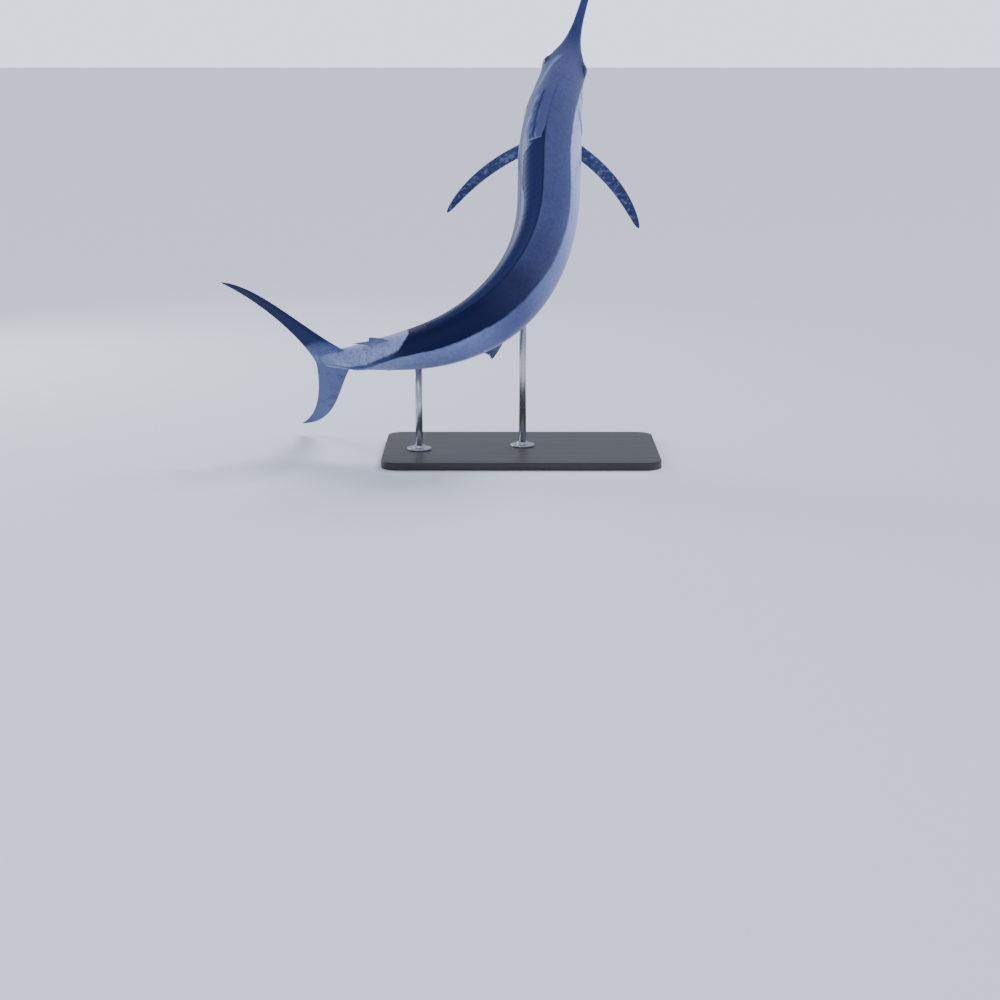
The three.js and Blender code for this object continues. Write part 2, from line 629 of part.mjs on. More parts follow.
function standFoot(place) {
  const plate = FOOT_BOTTOM + FOOT.height;
  return turned([[0, FOOT_BOTTOM], [FOOT.radius, FOOT_BOTTOM], [FOOT.radius, plate - FOOT.bevel],
    [FOOT.radius - FOOT.bevel, plate], [FOOT.collar, plate], [FOOT.collar, FOOT_TOP], [0, FOOT_TOP]],
  place);
}

function standRod(place, top) {
  const bottom = FOOT_TOP + MEETING_GAP;
  return clearOfBody(turned([[0, bottom], [ROD.radius, bottom], [ROD.radius, top], [0, top]], place));
}

// Looks of the pieces as seen from a step away.
const look = (color, roughness, metalness = 0) =>
  new THREE.MeshStandardMaterial({ color, roughness, metalness });
const LOOKS = {
  back: look(0x2f3d5c, 0.32),
  bill: look(0x232a3d, 0.4),
  jaw: look(0xb9bfd0, 0.35),
  fin: look(0x1b2338, 0.4),
  eye: look(0x0c0e14, 0.08),
  base: look(0x3a3d42, 0.5),
  rod: look(0xa9adb3, 0.3, 0.9),
};

const marlin = new THREE.Group();

function addPiece(name, made, material) {
  const mesh = made.getMesh();
  const geometry = new THREE.BufferGeometry();
  geometry.setAttribute("position", new THREE.BufferAttribute(mesh.vertProperties, 3));
  geometry.setIndex(new THREE.BufferAttribute(mesh.triVerts, 1));
  const piece = new THREE.Mesh(geometry, material);
  piece.name = name;
  marlin.add(piece);
}

addPiece("bill", bill(), LOOKS.bill);
addPiece("lower_jaw", lowerJaw(), LOOKS.jaw);
addPiece("head", head(), LOOKS.back);
addPiece("torso_front", bodyLength(HEAD_END, FRONT_END), LOOKS.back);
addPiece("torso_middle", bodyLength(FRONT_END, MIDDLE_END), LOOKS.back);
addPiece("torso_rear", bodyLength(MIDDLE_END, REAR_END), LOOKS.back);
addPiece("tail_stem", tailStem(), LOOKS.back);
["front", "middle", "rear"].forEach((name) => {
  addPiece(`first_dorsal_fin_${name}`, foldedFin(FOLDED_DORSAL[name]), LOOKS.fin);
});
addPiece("second_dorsal_fin", midlineFin(SECOND_DORSAL), LOOKS.fin);
addPiece("first_anal_fin", midlineFin(FIRST_ANAL), LOOKS.fin);
addPiece("second_anal_fin", midlineFin(SECOND_ANAL), LOOKS.fin);
addPiece("tail_fin_upper", tailLobe(1, TAIL_UPPER), LOOKS.fin);
addPiece("tail_fin_lower", tailLobe(-1, TAIL_LOWER), LOOKS.fin);
[["left", 1], ["right", -1]].forEach(([name, side]) => {
  addPiece(`eye_${name}`, eyeBall(side), LOOKS.eye);
  addPiece(`pectoral_fin_${name}`, pectoralFin(side, PECTORAL[`${name}Sweep`]), LOOKS.fin);
  addPiece(`pelvic_fin_${name}`, pelvicFin(side), LOOKS.fin);
});
addPiece("stand_base", standBase(), LOOKS.base);
Object.entries(ROD_PLACES).forEach(([name, { place, top }]) => {
  addPiece(`stand_foot_${name}`, standFoot(place), LOOKS.rod);
  addPiece(`stand_rod_${name}`, standRod(place, top), LOOKS.rod);
});

export default marlin;
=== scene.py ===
# %% [markdown]
# The object is a life-size model of a black marlin in mid leap, held by two rods on a flat base.
# Its imported solids are the fixed frame. Everything below is dressed over them, so the first step
# is to load that frame.

# %% Load the frame
from math import radians

import bpy
import numpy as np
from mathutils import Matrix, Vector


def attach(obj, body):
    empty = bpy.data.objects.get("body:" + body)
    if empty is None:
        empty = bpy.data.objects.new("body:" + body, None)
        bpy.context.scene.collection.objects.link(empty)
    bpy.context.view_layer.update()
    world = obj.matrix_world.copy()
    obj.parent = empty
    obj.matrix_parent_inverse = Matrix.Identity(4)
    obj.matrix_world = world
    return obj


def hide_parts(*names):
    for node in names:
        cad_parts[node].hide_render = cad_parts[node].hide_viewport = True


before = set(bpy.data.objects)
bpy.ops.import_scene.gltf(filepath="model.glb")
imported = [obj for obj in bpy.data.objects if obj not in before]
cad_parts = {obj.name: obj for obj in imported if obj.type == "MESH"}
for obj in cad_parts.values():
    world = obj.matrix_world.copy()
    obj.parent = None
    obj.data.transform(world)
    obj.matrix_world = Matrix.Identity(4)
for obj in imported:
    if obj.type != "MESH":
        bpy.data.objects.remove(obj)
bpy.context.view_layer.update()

BODY = "root"  # the model is still, so every piece rides on its one body

# %% [markdown]
# A fish is a bent tube, so its shape is easiest to say in two numbers: the place along its
# backbone, as a share of its length, and the turn round its section. The backbone is a chain of
# small frames that starts at the shoulder and is turned a little at each step, which is how a
# modeller bends an armature wire before any skin goes on. Lengths are in metres here.

# %% Driving dimensions of the pose
FORK_LENGTH = 2.2  # tip of the lower jaw to the fork of the tail fin
BILL_TIP = -0.205
STEM_END = 0.955
SKIN_END = 0.99
SHOULDER = {"at": 0.3, "place": (0.12, 0.065, 1.212), "rise": 66.2, "compass": 84.3, "roll": 2.2}
SIDEWAYS = [(15, 0.05, 0.36), (-91.5, 0.31, 0.87)]  # degrees, from and to: neck, then body
TWIST = [(8, 0.1, 0.3), (28, 0.4, 0.8)]  # towards the animal's left: head, then tail
BACKBONE_STEP = 0.005
BACKBONE_TO = 1.2


def ease(x, start, end):
    """A smooth step: 0 before start, 1 after end, and 3t^2 - 2t^3 of the way t between them."""
    t = np.clip((np.asarray(x, float) - start) / (end - start), 0, 1)
    return t * t * (3 - 2 * t)


def between(x, start, full, fading, end):
    """1 from full to fading and 0 outside start and end, eased on the way in and out."""
    return ease(x, start, full) * (1 - ease(x, fading, end))


def mix(a, b, t):
    """The point a share t of the way from a to b."""
    return a + (b - a) * t


def unit(v):
    """Each vector of an array, divided by its own length."""
    return v / np.linalg.norm(v, axis=-1, keepdims=True)


def turned(v, axis, angle):
    """A vector turned about a unit axis: its part along the axis stays, the rest goes round."""
    along = axis * np.dot(axis, v)
    return along + (v - along) * np.cos(angle) + np.cross(axis, v) * np.sin(angle)


def eased_angle(at, turns):
    """The angle reached at a place, in radians, by turns that each grow over their own stretch."""
    return np.radians(sum(degrees * ease(at, start, end) for degrees, start, end in turns))


# %% The backbone
def shoulder_frame():
    """Place, tailward, up and left at the shoulder, from its rise, compass heading and roll."""
    rise, compass = radians(SHOULDER["rise"]), radians(SHOULDER["compass"])
    ahead = np.array([np.cos(rise) * np.cos(compass), np.cos(rise) * np.sin(compass), np.sin(rise)])
    up = unit(np.array([0, 0, 1]) - ahead * ahead[2])
    up = turned(up, -ahead, radians(SHOULDER["roll"]))
    return np.array(SHOULDER["place"]), -ahead, up, np.cross(-ahead, up)


def step_from(place, tailward, up, at, following):
    """The next frame: turned to the side, then twisted, and moved on by the step between them."""
    side, roll = [eased_angle(following, turns) - eased_angle(at, turns) for turns in (SIDEWAYS, TWIST)]
    tail_next, up_next = turned(tailward, up, side), turned(up, tailward, roll)
    tail_next = unit(tail_next)
    up_next = unit(up_next - tail_next * np.dot(up_next, tail_next))
    place = place + unit(tailward + tail_next) * (following - at) * FORK_LENGTH
    return place, tail_next, up_next, np.cross(tail_next, up_next)


def run_backbone(count, step):
    """A list of frames from the shoulder on, count steps of the given size."""
    at, current, frames = SHOULDER["at"], shoulder_frame(), []
    for _ in range(count):
        current = step_from(*current[:3], at, at + step)
        at += step
        frames.append((at, *current))
    return frames


steps_back = round((BACKBONE_TO - SHOULDER["at"]) / BACKBONE_STEP)
steps_ahead = round((SHOULDER["at"] - BILL_TIP + 0.02) / BACKBONE_STEP)
chain = (run_backbone(steps_ahead, -BACKBONE_STEP)[::-1]
         + [(SHOULDER["at"], *shoulder_frame())] + run_backbone(steps_back, BACKBONE_STEP))
CHAIN_AT = np.array([link[0] for link in chain])
CHAIN = [np.array([link[i] for link in chain]) for i in range(1, 5)]
print("backbone frames:", len(chain), "from", round(CHAIN_AT[0], 3), "to", round(CHAIN_AT[-1], 3))


def frame_at(at):
    """Place, tailward, up and left at any places, between the two nearest frames of the chain."""
    steps = (np.asarray(at, float) - CHAIN_AT[0]) / BACKBONE_STEP
    i = np.clip(np.floor(steps).astype(int), 0, len(CHAIN_AT) - 2)
    t = (steps - i)[..., None]
    place, tailward, up, left = [mix(part[i], part[i + 1], t) for part in CHAIN]
    return place, unit(tailward), unit(up), unit(left)


# %% [markdown]
# The section of the body is a slightly squared oval, deeper above than below. Its heights and
# widths change along the body as smooth curves through a few stations, from the needle of the
# bill over the high nape to the thin stem of the tail. One formula gives every point of the skin.

# %% Body lines and the skin's formula
BODY_LINES = np.array([  # place, height of the back, depth of the belly, half width
    [BILL_TIP, 0.0011, 0.0011, 0.0013],
    [-0.1, 0.0045, 0.0041, 0.0054],
    [0, 0.0074, 0.0068, 0.0094],
    [0.03, 0.0124, 0.0132, 0.0134],
    [0.055, 0.022, 0.0215, 0.0205],
    [0.08, 0.0345, 0.032, 0.0322],
    [0.1, 0.046, 0.0405, 0.0397],
    [0.15, 0.078, 0.059, 0.0458],
    [0.2, 0.1, 0.0725, 0.0525],
    [0.25, 0.1075, 0.0805, 0.0575],
    [0.3, 0.107, 0.0842, 0.0597],
    [0.4, 0.1015, 0.085, 0.057],
    [0.5, 0.0915, 0.08, 0.0525],
    [0.6, 0.077, 0.0695, 0.047],
    [0.7, 0.0605, 0.0555, 0.0398],
    [0.8, 0.0455, 0.043, 0.0325],
    [0.88, 0.0325, 0.0315, 0.0255],
    [0.93, 0.0262, 0.0258, 0.0185],
    [STEM_END, 0.027, 0.0265, 0.0115],  # from here the stem thins out into the tail fin
    [0.968, 0.025, 0.0245, 0.0072],
    [SKIN_END, 0.016, 0.016, 0.0026],
])
SECTION_ROUNDNESS = 2.15


def through(stations, values):
    """A curve through stations that never overshoots: cubics whose slope at each station is the
    harmonic mean of the slopes on its two sides, or flat where they disagree."""
    x, y = np.asarray(stations, float), np.asarray(values, float)
    slope = np.diff(y) / np.diff(x)
    a, b = slope[:-1], slope[1:]
    inner = np.where(a * b <= 0, 0, 2 * a * b / np.where(a + b == 0, 1, a + b))
    tangent = np.concatenate([slope[:1], inner, slope[-1:]])

    def curve(at):
        i = np.clip(np.searchsorted(x, at, side="right") - 1, 0, len(x) - 2)
        h = x[i + 1] - x[i]
        t = np.clip((at - x[i]) / h, 0, 1)
        rise = (3 * t**2 - 2 * t**3) * (y[i + 1] - y[i]) + y[i]
        return rise + h * ((t**3 - 2 * t**2 + t) * tangent[i] + (t**3 - t**2) * tangent[i + 1])

    return curve


back_line, belly_line, side_line = [through(BODY_LINES[:, 0], BODY_LINES[:, k]) for k in (1, 2, 3)]


def skin_offsets(at, turn):
    """Height and leftward distance of the skin at a place and a turn, which runs from 0 on the
    back over 90 on the left side to 180 on the belly, with the outward direction there."""
    c, s = np.cos(np.radians(turn)), np.sin(np.radians(turn))
    power = 2 / SECTION_ROUNDNESS
    high = np.where(c >= 0, back_line(at), belly_line(at)) * FORK_LENGTH
    wide = side_line(at) * FORK_LENGTH
    above = high * np.sign(c) * np.abs(c) ** power
    left = wide * np.sign(s) * np.abs(s) ** power
    outward = unit(np.stack([above / high**2, left / wide**2], -1))
    return above, left, outward


def skin_point(at, turn, proud=0.0):
    """A point of the skin, moved out by proud, in the model's own frame."""
    place, _, up, left = frame_at(at)
    above, aside, outward = skin_offsets(at, turn)
    above, aside = above + proud * outward[..., 0], aside + proud * outward[..., 1]
    return place + up * above[..., None] + left * aside[..., None]


def skin_normal(at, turn):
    """The outward direction of the skin, which ignores the slow taper along the body."""
    _, _, up, left = frame_at(at)
    outward = skin_offsets(at, turn)[2]
    return up * outward[..., :1] + left * outward[..., 1:]


def turn_at(at, aside):
    """The turn at which the upper skin is a given distance left of the midline."""
    share = np.minimum(1, np.abs(aside) / (side_line(at) * FORK_LENGTH))
    return np.degrees(np.arcsin(share ** (SECTION_ROUNDNESS / 2))) * np.sign(aside)


print("girth at the shoulder, m:", round(float(np.linalg.norm(np.diff(
    skin_point(np.full(361, SHOULDER["at"]), np.arange(361.0)), axis=0), axis=-1).sum()), 3))

# %% [markdown]
# The camera stands where the photographer stood, low over the floor and far back, and looks a
# little down, which puts the animal in the top of the picture.

# %% Camera
VIEW_ANGLE = 27.0
CAMERA_PLACE = (-0.088, -8.733, 1.686)
CAMERA_PITCH = -12.19


def place_camera():
    """A level camera that looks along +Y and a few degrees down."""
    data = bpy.data.cameras.new("camera")
    data.sensor_fit = "HORIZONTAL"
    data.angle = radians(VIEW_ANGLE)
    camera = bpy.data.objects.new("camera", data)
    camera.location = CAMERA_PLACE
    camera.rotation_euler = (radians(90 + CAMERA_PITCH), 0, 0)
    bpy.context.scene.collection.objects.link(camera)
    bpy.context.scene.camera = camera
    return camera


print("camera:", tuple(round(v, 3) for v in place_camera().location))


# %% [markdown]
# A finish is a chain of nodes, and wired one by one it takes a line for every link. So a small
# class holds one output of a node, and a sum on it adds a Math node: the formula of a finish then
# reads as it does on paper. Pieces are plain arrays of points and faces until they become a mesh.

# %% Helpers for nodes
class Paint:
    """One output of a node. Plus, minus, times and divide each add a Math node behind it."""

    def __init__(self, tree, socket):
        self.tree = tree
        self.socket = socket

    def maths(self, operation, other=0.0):
        """The result of one sum on this output and another output or number."""
        return added(self.tree, "ShaderNodeMath", {0: self, 1: other}, operation=operation)

    def __add__(self, other):
        return self.maths("ADD", other)

    def __sub__(self, other):
        return self.maths("SUBTRACT", other)

    def __mul__(self, other):
        return self.maths("MULTIPLY", other)

    def __truediv__(self, other):
        return self.maths("DIVIDE", other)

    def remap(self, low, high, to_low=0.0, to_high=1.0):
        """This value carried smoothly from one range to another, and held at its ends."""
        sockets = {"Value": self, "From Min": low, "From Max": high, "To Min": to_low, "To Max": to_high}
        return added(self.tree, "ShaderNodeMapRange", sockets, interpolation_type="SMOOTHSTEP")

    def band(self, start, full, fading, end):
        """1 from full to fading and 0 outside start and end: one smooth step less another."""
        return self.remap(start, full) - self.remap(fading, end)

    def ramp(self, stops):
        """The colour that this share reaches on its way through (position, colour) stops."""
        made = added(self.tree, "ShaderNodeValToRGB", {0: self})
        band = made.socket.node.color_ramp
        band.interpolation = "EASE"
        while len(band.elements) < len(stops):
            band.elements.new(0.5)
        for element, (position, colour) in zip(band.elements, stops):
            element.position = position
            element.color = (*colour, 1)
        return made

    def stored(self, name):
        """The number that the mesh carries at each point under this name."""
        return added(self.tree, "ShaderNodeAttribute", output="Fac", attribute_name=name)


def wire(tree, value, socket):
    """Links an output to an input, or sets the input to a plain number, vector or colour."""
    if isinstance(value, Paint):
        tree.links.new(value.socket, socket)
    else:
        socket.default_value = (*value, 1) if socket.type == "RGBA" else value


def added(tree, kind, inputs=None, output=0, **settings):
    """The output of a new node, after its settings are made and its inputs are wired."""
    made = tree.nodes.new(kind)
    for key, value in settings.items():
        setattr(made, key, value)
    for key, value in (inputs or {}).items():
        wire(tree, value, made.inputs[key])
    return Paint(tree, made.outputs[output])


def blend(factor, a, b, way="MIX"):
    """Colour a turned into colour b by a factor; each is an output or plain."""
    tree = next(part.tree for part in (factor, a, b) if isinstance(part, Paint))
    return added(tree, "ShaderNodeMix", {0: factor, 6: a, 7: b}, 2, data_type="RGBA", blend_type=way)


def new_material(name):
    """An empty material, and the place of each point of the surface from Object coordinates."""
    material = bpy.data.materials.new(name)
    material.use_nodes = True
    return material, added(material.node_tree, "ShaderNodeTexCoord", output="Object")


def set_shader(material, sockets, height=None, strength=0.3, distance=0.0006, invert=False):
    """Wires the shader's own sockets. A height also raises the surface, as a fine bump."""
    tree = material.node_tree
    shader = tree.nodes["Principled BSDF"]
    for key, value in sockets.items():
        wire(tree, value, shader.inputs[key])
    if height is not None:
        bumped = {"Strength": strength, "Distance": distance, "Height": height}
        wire(tree, added(tree, "ShaderNodeBump", bumped, invert=invert), shader.inputs["Normal"])
    return material


# %% Helpers for meshes
def grid_faces(rows, columns, around=False):
    """Quads between neighbouring points of a grid, as an array; around closes each row."""
    r, c = np.meshgrid(np.arange(rows - 1), np.arange(columns if around else columns - 1), indexing="ij")
    following = (c + 1) % columns
    corners = [r * columns + c, r * columns + following, (r + 1) * columns + following, (r + 1) * columns + c]
    return np.stack(corners, -1).reshape(-1, 4)


def facing_out(points, faces):
    """The same quads, turned over if the closed surface that they make has a negative volume."""
    a, b, c, d = np.moveaxis(points[faces], 1, 0)
    volume = np.einsum("ij,ij->", a, np.cross(b, c) + np.cross(c, d))
    return faces if volume > 0 else faces[:, ::-1]


def ring_shell(rings, ends=None):
    """A closed surface through rings of equal count: the points with one more at each end, and
    the quads and fans between them. An end is the middle of its ring unless it is given."""
    rows, columns = rings.shape[:2]
    ends = rings[[0, -1]].mean(1) if ends is None else ends
    points = np.concatenate([rings.reshape(-1, 3), ends])
    quads = grid_faces(rows, columns, around=True)
    first = np.arange(columns)
    last = first + (rows - 1) * columns
    start = np.stack([np.roll(first, -1), first, np.full(columns, rows * columns)], -1)
    end = np.stack([last, np.roll(last, -1), np.full(columns, rows * columns + 1)], -1)
    outward = facing_out(points, quads) is quads
    parts = [part if outward else part[:, ::-1] for part in (quads, start, end)]
    return points, sum((part.tolist() for part in parts), [])


def make_piece(name, points, faces, values=None, uv=None):
    """A smooth mesh object from points and faces, with named numbers at its points and a map."""
    mesh = bpy.data.meshes.new(name)
    mesh.from_pydata(points, [], faces)
    for key, numbers in (values or {}).items():
        field = mesh.attributes.new(key, "FLOAT", "POINT")
        field.data.foreach_set("value", np.ascontiguousarray(numbers, np.float32).ravel())
    if uv is not None:
        layer = mesh.uv_layers.new(name="Surface")
        layer.data.foreach_set("uv", np.ascontiguousarray(uv, np.float32).ravel())
    mesh.polygons.foreach_set("use_smooth", np.full(len(mesh.polygons), True))
    mesh.update()
    made = bpy.data.objects.new(name, mesh)
    bpy.context.scene.collection.objects.link(made)
    return made


def finish_piece(made, material, slot, *nodes):
    """Gives a piece its finish and its body, and hides the solids it stands for. The slot is not used."""
    made.data.materials.append(material)
    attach(made, BODY)
    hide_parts(*nodes)
    print(made.name, "points:", len(made.data.vertices), "faces:", len(made.data.polygons))


# %% [markdown]
# A wet fish is read by its broad reflections, so the lamps are wide and the sky is pale. The sky
# is brighter where it is seen than where it lights, which keeps the dark back dark. The sun is wide
# and soft, stands behind the animal on the right, and leaves no glint of its own.

# %% Floor, sky and lamps
FLOOR_SIDE = 400.0
FLOOR_COLOUR = (0.78, 0.8, 0.86)
SKY_COLOUR = (0.68, 0.76, 0.94)
SKY_STRENGTH = {"light": 0.8, "seen": 2.2}
SUN_FROM = (0.4, 0.55, 0.74)
SUN = {"energy": 2.6, "angle": radians(30), "color": (0.97, 0.98, 1.0)}
LAMPS = {  # place, point aimed at, width, depth, watts
    "left_edge": ((-4.0, 3.0, 2.6), (-0.1, 0, 1.2), 2.6, 2.6, 110),
    "fill": ((-2.4, -6.5, 4.4), (0, 0, 1.1), 3.4, 2.2, 50),
}
LAMP_COLOUR = (0.84, 0.9, 1.0)


def lay_floor():
    """A wide plain floor, split in four so that its shading stays even."""
    half = FLOOR_SIDE / 2
    x, y = np.meshgrid(np.linspace(-half, half, 3), np.linspace(-half, half, 3))
    points = np.stack([x, y, np.zeros_like(x)], -1).reshape(-1, 3)
    floor = make_piece("floor", points, grid_faces(3, 3))
    finish = set_shader(new_material("pale_floor")[0], {"Base Color": FLOOR_COLOUR, "Roughness": 0.9})
    floor.data.materials.append(finish)


def hang_light(name, kind, beam, place, settings):
    """A light of one kind at a place, with its settings made and its beam along a direction."""
    data = bpy.data.lights.new(name, kind)
    for key, value in settings.items():
        setattr(data, key, value)
    light = bpy.data.objects.new(name, data)
    light.location = place
    light.rotation_euler = Vector(beam).to_track_quat("-Z", "Y").to_euler()
    bpy.context.scene.collection.objects.link(light)
    return light


def light_scene():
    """The sky all round, then the sun, then the lamps, each aimed at its point."""
    world = bpy.data.worlds.new("sky")
    bpy.context.scene.world = world
    world.use_nodes = True
    tree = world.node_tree
    background = tree.nodes["Background"]
    seen = added(tree, "ShaderNodeLightPath", output="Is Camera Ray")
    wire(tree, SKY_COLOUR, background.inputs[0])
    wire(tree, seen.remap(0.0, 1.0, SKY_STRENGTH["light"], SKY_STRENGTH["seen"]), background.inputs[1])
    sun = hang_light("sun", "SUN", -Vector(SUN_FROM), (0, 0, 0), SUN)
    sun.visible_glossy = False
    for name, (place, target, width, depth, watts) in LAMPS.items():
        settings = {"shape": "RECTANGLE", "size": width, "size_y": depth, "energy": watts,
                    "color": LAMP_COLOUR}
        hang_light(name, "AREA", Vector(target) - Vector(place), place, settings)


lay_floor()
light_scene()
print("lamps:", len(LAMPS))

# %% [markdown]
# The skin is one surface from the tip of the bill to the root of the tail fin, so no seam parts
# head from body. It could be sculpted, but a fish repeats along its backbone, so it is a grid
# instead: rows along the body, closer on the head, and columns round it, closer at the mouth.
# Each feature of the head is a small height added along the skin's outward direction.

# %% Where the skin's grid lines run
JAW_CORNER = 0.125
MOUTH_DEPTH = {"tip": 0.0062, "corner": 0.024}


def mouth_depth(at):
    """How far the mouth line lies below the backbone, easing from jaw tip to jaw corner."""
    return FORK_LENGTH * mix(MOUTH_DEPTH["tip"], MOUTH_DEPTH["corner"], ease(at, 0, JAW_CORNER))


def mouth_turn(at):
    """The turn of the skin at the height of the mouth line, kept off the belly ahead of the jaw."""
    held = np.clip(at, 0.004, JAW_CORNER)
    share = np.clip(mouth_depth(held) / (belly_line(held) * FORK_LENGTH), 0, 1)
    turn = 90 + np.degrees(np.arcsin(share ** (SECTION_ROUNDNESS / 2)))
    return np.minimum(turn, 160)


def skin_rows():
    """Places of the rows: 9 mm apart on the bill, 3 on the head and 7 on the body."""
    parts = [(BILL_TIP, -0.012, 0.009), (-0.012, 0.245, 0.003), (0.245, SKIN_END, 0.007)]
    rows = [np.linspace(a, b, round((b - a) * FORK_LENGTH / step), endpoint=False) for a, b, step in parts]
    return np.append(np.concatenate(rows), SKIN_END)


def skin_columns(at, above=58, below=30):
    """Turns of the columns for each row, right round: from the back to the mouth line and on to
    the belly, closer together near the mouth line, and the same on the other side."""
    u, v = np.linspace(0, 1, above, endpoint=False), np.linspace(0, 1, below + 1)
    line = mouth_turn(at)[:, None]
    upper = line * (1 - (1 - u) ** 1.35 * (1 - 0.25 * u))
    lower = line + (180 - line) * v**1.3
    left = np.concatenate([upper, lower], 1)
    return np.concatenate([left, 360 - left[:, -2:0:-1]], 1)


ROWS = skin_rows()
TURNS = skin_columns(ROWS)
SKIN_AT = np.repeat(ROWS[:, None], TURNS.shape[1], 1)
print("skin grid:", TURNS.shape)


# %% [markdown]
# Before the skin is closed, its features are worked out one by one as heights in millimetres:
# the groove of the mouth between two lips, the cup round each eye, the nostrils, the cheek and
# the gill cover whose rear edge stands off the body, the slot that takes the folded fin, and the
# keels on the tail stem. A crease number goes with them: painted shade that darkens the skin in
# their depths.

# %% Features of the head
MILLIMETRE = 0.001
SIDES = {"left": 1, "right": -1}
EYE = {"at": 0.101, "height": 0.014, "radius": 0.03, "depth": 0.016, "proud": 0.01}
# The crease bell of the eye cup sets the painted shade in its ring.
EYE_CUP = {"deep": 5, "from": 22, "to": 29.5, "crease_shade": (1, 28, 2.6)}
NOSTRILS = [(0.078, 0.016), (0.085, 0.016)]
SIDE_TILT = 0.24  # how far eyes and nostrils look up
HEAD_END = 0.2  # no feature of one side reaches further back
CHEEK = {"front": 0.128, "rear": 0.168, "bow": 0.018, "top": 62, "bottom": 142, "thick": 2.5}
GILL_COVER = {"front": 0.15, "rear": 0.226, "bow": 0.036, "top": 58, "bottom": 156, "thick": 5}
# Each cover's edge groove is darkened by painted shade.
COVER_EDGE = {"drop": 7, "groove": (1, 6, 5), "deep": 1.5, "edge_shade": 0.55}
# Bells as height, middle and half width: groove and two lips, rim and folds, hole and rim.
MOUTH_BELLS = [(-4.5, 0, 1.7), (1.2, 4.5, 2.6), (0.8, -4.5, 2.6)]
EYE_BELLS = [(3.4, 32.5, 3.6), (-0.6, 38.5, 2), (0.8, 43, 3)]
NOSTRIL_BELLS = [(-3.2, 0, 2.8), (0.9, 5, 2)]
JAW_STEP = 1.6  # how far the lower jaw lies inside the upper one
MOUTH_NEAR = 40  # no feature of the mouth reaches further from its line
MOUTH_OVER = (-0.001, 0.004, 0.119, 0.127)  # places where its features start, are full, fade and end
CREASE_SHADE_WIDTH = {"mouth": 2.6, "nostril": 3.2, "slot": 4}  # half width of the painted shade in each crease


def side_spot(at, height, side):
    """A point on the side of the head at a place and a height, with the directions along the
    body, across it and outwards there. Outwards follows the head's flare as well as its side."""
    at = np.asarray(at, float)
    place, tailward, up, left = frame_at(at)
    wide, high, lift = side_line(at) * FORK_LENGTH, back_line(at) * FORK_LENGTH, height * FORK_LENGTH
    reach = wide * (1 - (lift / high) ** SECTION_ROUNDNESS) ** (1 / SECTION_ROUNDNESS)
    flare = (side_line(at + 0.015) - side_line(at - 0.015)) / 0.03
    outward = unit(side * left - flare * frame_at(at - 0.02)[1] + SIDE_TILT * up)
    along = unit(tailward - outward * np.dot(tailward, outward))
    return place + up * lift + left * side * reach, along, np.cross(outward, along), outward


def on_side(at, turn, side):
    """1 on one side of the head and 0 elsewhere."""
    return (side * np.sin(np.radians(turn)) > 0) * (at < HEAD_END) * 1.0


def off_spot(points, at, height, side):
    """Millimetres along the body and across it from a spot, measured flat against its side."""
    centre, along, across, _ = side_spot(at, height, side)
    gap = (points - centre) / MILLIMETRE
    return gap @ along, gap @ across


def bump(x, width):
    """A bell of height 1 and the given half width at about a third of its height."""
    return np.exp(-((x / width) ** 2))


def bells(x, *parts):
    """A sum of bells, each with its own height, middle and half width."""
    return sum(high * bump(x - middle, wide) for high, middle, wide in parts)


def plate(at, turn, cover):
    """Height and edge of a cheek or gill plate: it swells towards a rear edge that bows back in
    the middle, fades out above and below, and drops to the skin just behind that edge."""
    around = np.minimum(turn, 360 - turn)
    spread = np.abs(2 * (around - cover["top"]) / (cover["bottom"] - cover["top"]) - 1)
    inside = 1 - ease(spread, 0.82, 1.02)
    rear = cover["rear"] - cover["bow"] * np.minimum(spread, 1.1) ** 2
    past = (at - rear) * FORK_LENGTH / MILLIMETRE
    height = cover["thick"] * ease(at, cover["front"], rear) * inside
    return height * (1 - ease(past, 0, COVER_EDGE["drop"])), inside * bells(past, COVER_EDGE["groove"])


def head_relief(at, turn, points):
    """Heights of the mouth, eyes, nostrils, cheeks and gill covers, in millimetres, and the painted shade in
    their creases.
    """
    level = (skin_offsets(at, turn)[0] + mouth_depth(at)) / MILLIMETRE
    mouth = between(at, *MOUTH_OVER) * (np.abs(level) < MOUTH_NEAR)
    height = mouth * bells(level, *MOUTH_BELLS)
    height -= JAW_STEP * mouth * ease(-level, 0, 3) * (1 - ease(at, 0.08, JAW_CORNER))
    crease_shade = mouth * bump(level, CREASE_SHADE_WIDTH["mouth"])
    for cover in (CHEEK, GILL_COVER):
        raised, edge = plate(at, turn, cover)
        height += raised - COVER_EDGE["deep"] * edge
        crease_shade = np.maximum(crease_shade, COVER_EDGE["edge_shade"] * edge)
    for side in SIDES.values():
        here = on_side(at, turn, side)
        far = np.hypot(*off_spot(points, EYE["at"], EYE["height"], side))
        cup = EYE_CUP["deep"] * (1 - ease(far, EYE_CUP["from"], EYE_CUP["to"]))
        height += here * (bells(far, *EYE_BELLS) - cup)
        crease_shade = np.maximum(crease_shade, here * bells(far, EYE_CUP["crease_shade"]))
        for spot in NOSTRILS:
            far = np.hypot(*off_spot(points, *spot, side))
            height += here * bells(far, *NOSTRIL_BELLS)
            crease_shade = np.maximum(crease_shade, here * bump(far, CREASE_SHADE_WIDTH["nostril"]))
    return height, crease_shade


# %% Features of the body
FIN_SLOT = {"over": (0.166, 0.174, 0.722, 0.742), "bells": [(2.6, 11, 4.5), (-3.0, 0, 5.0)]}  # lips, slot
KEELS = {"at": 0.914, "reach": 0.02604, "heights": (0.0085, -0.0085), "rise": 8.5, "width": 5.5}
LATERAL_LINE = {"over": (0.22, 0.3, 0.82, 0.88), "height": 0.012, "deep": 0.4, "width": 1.8}


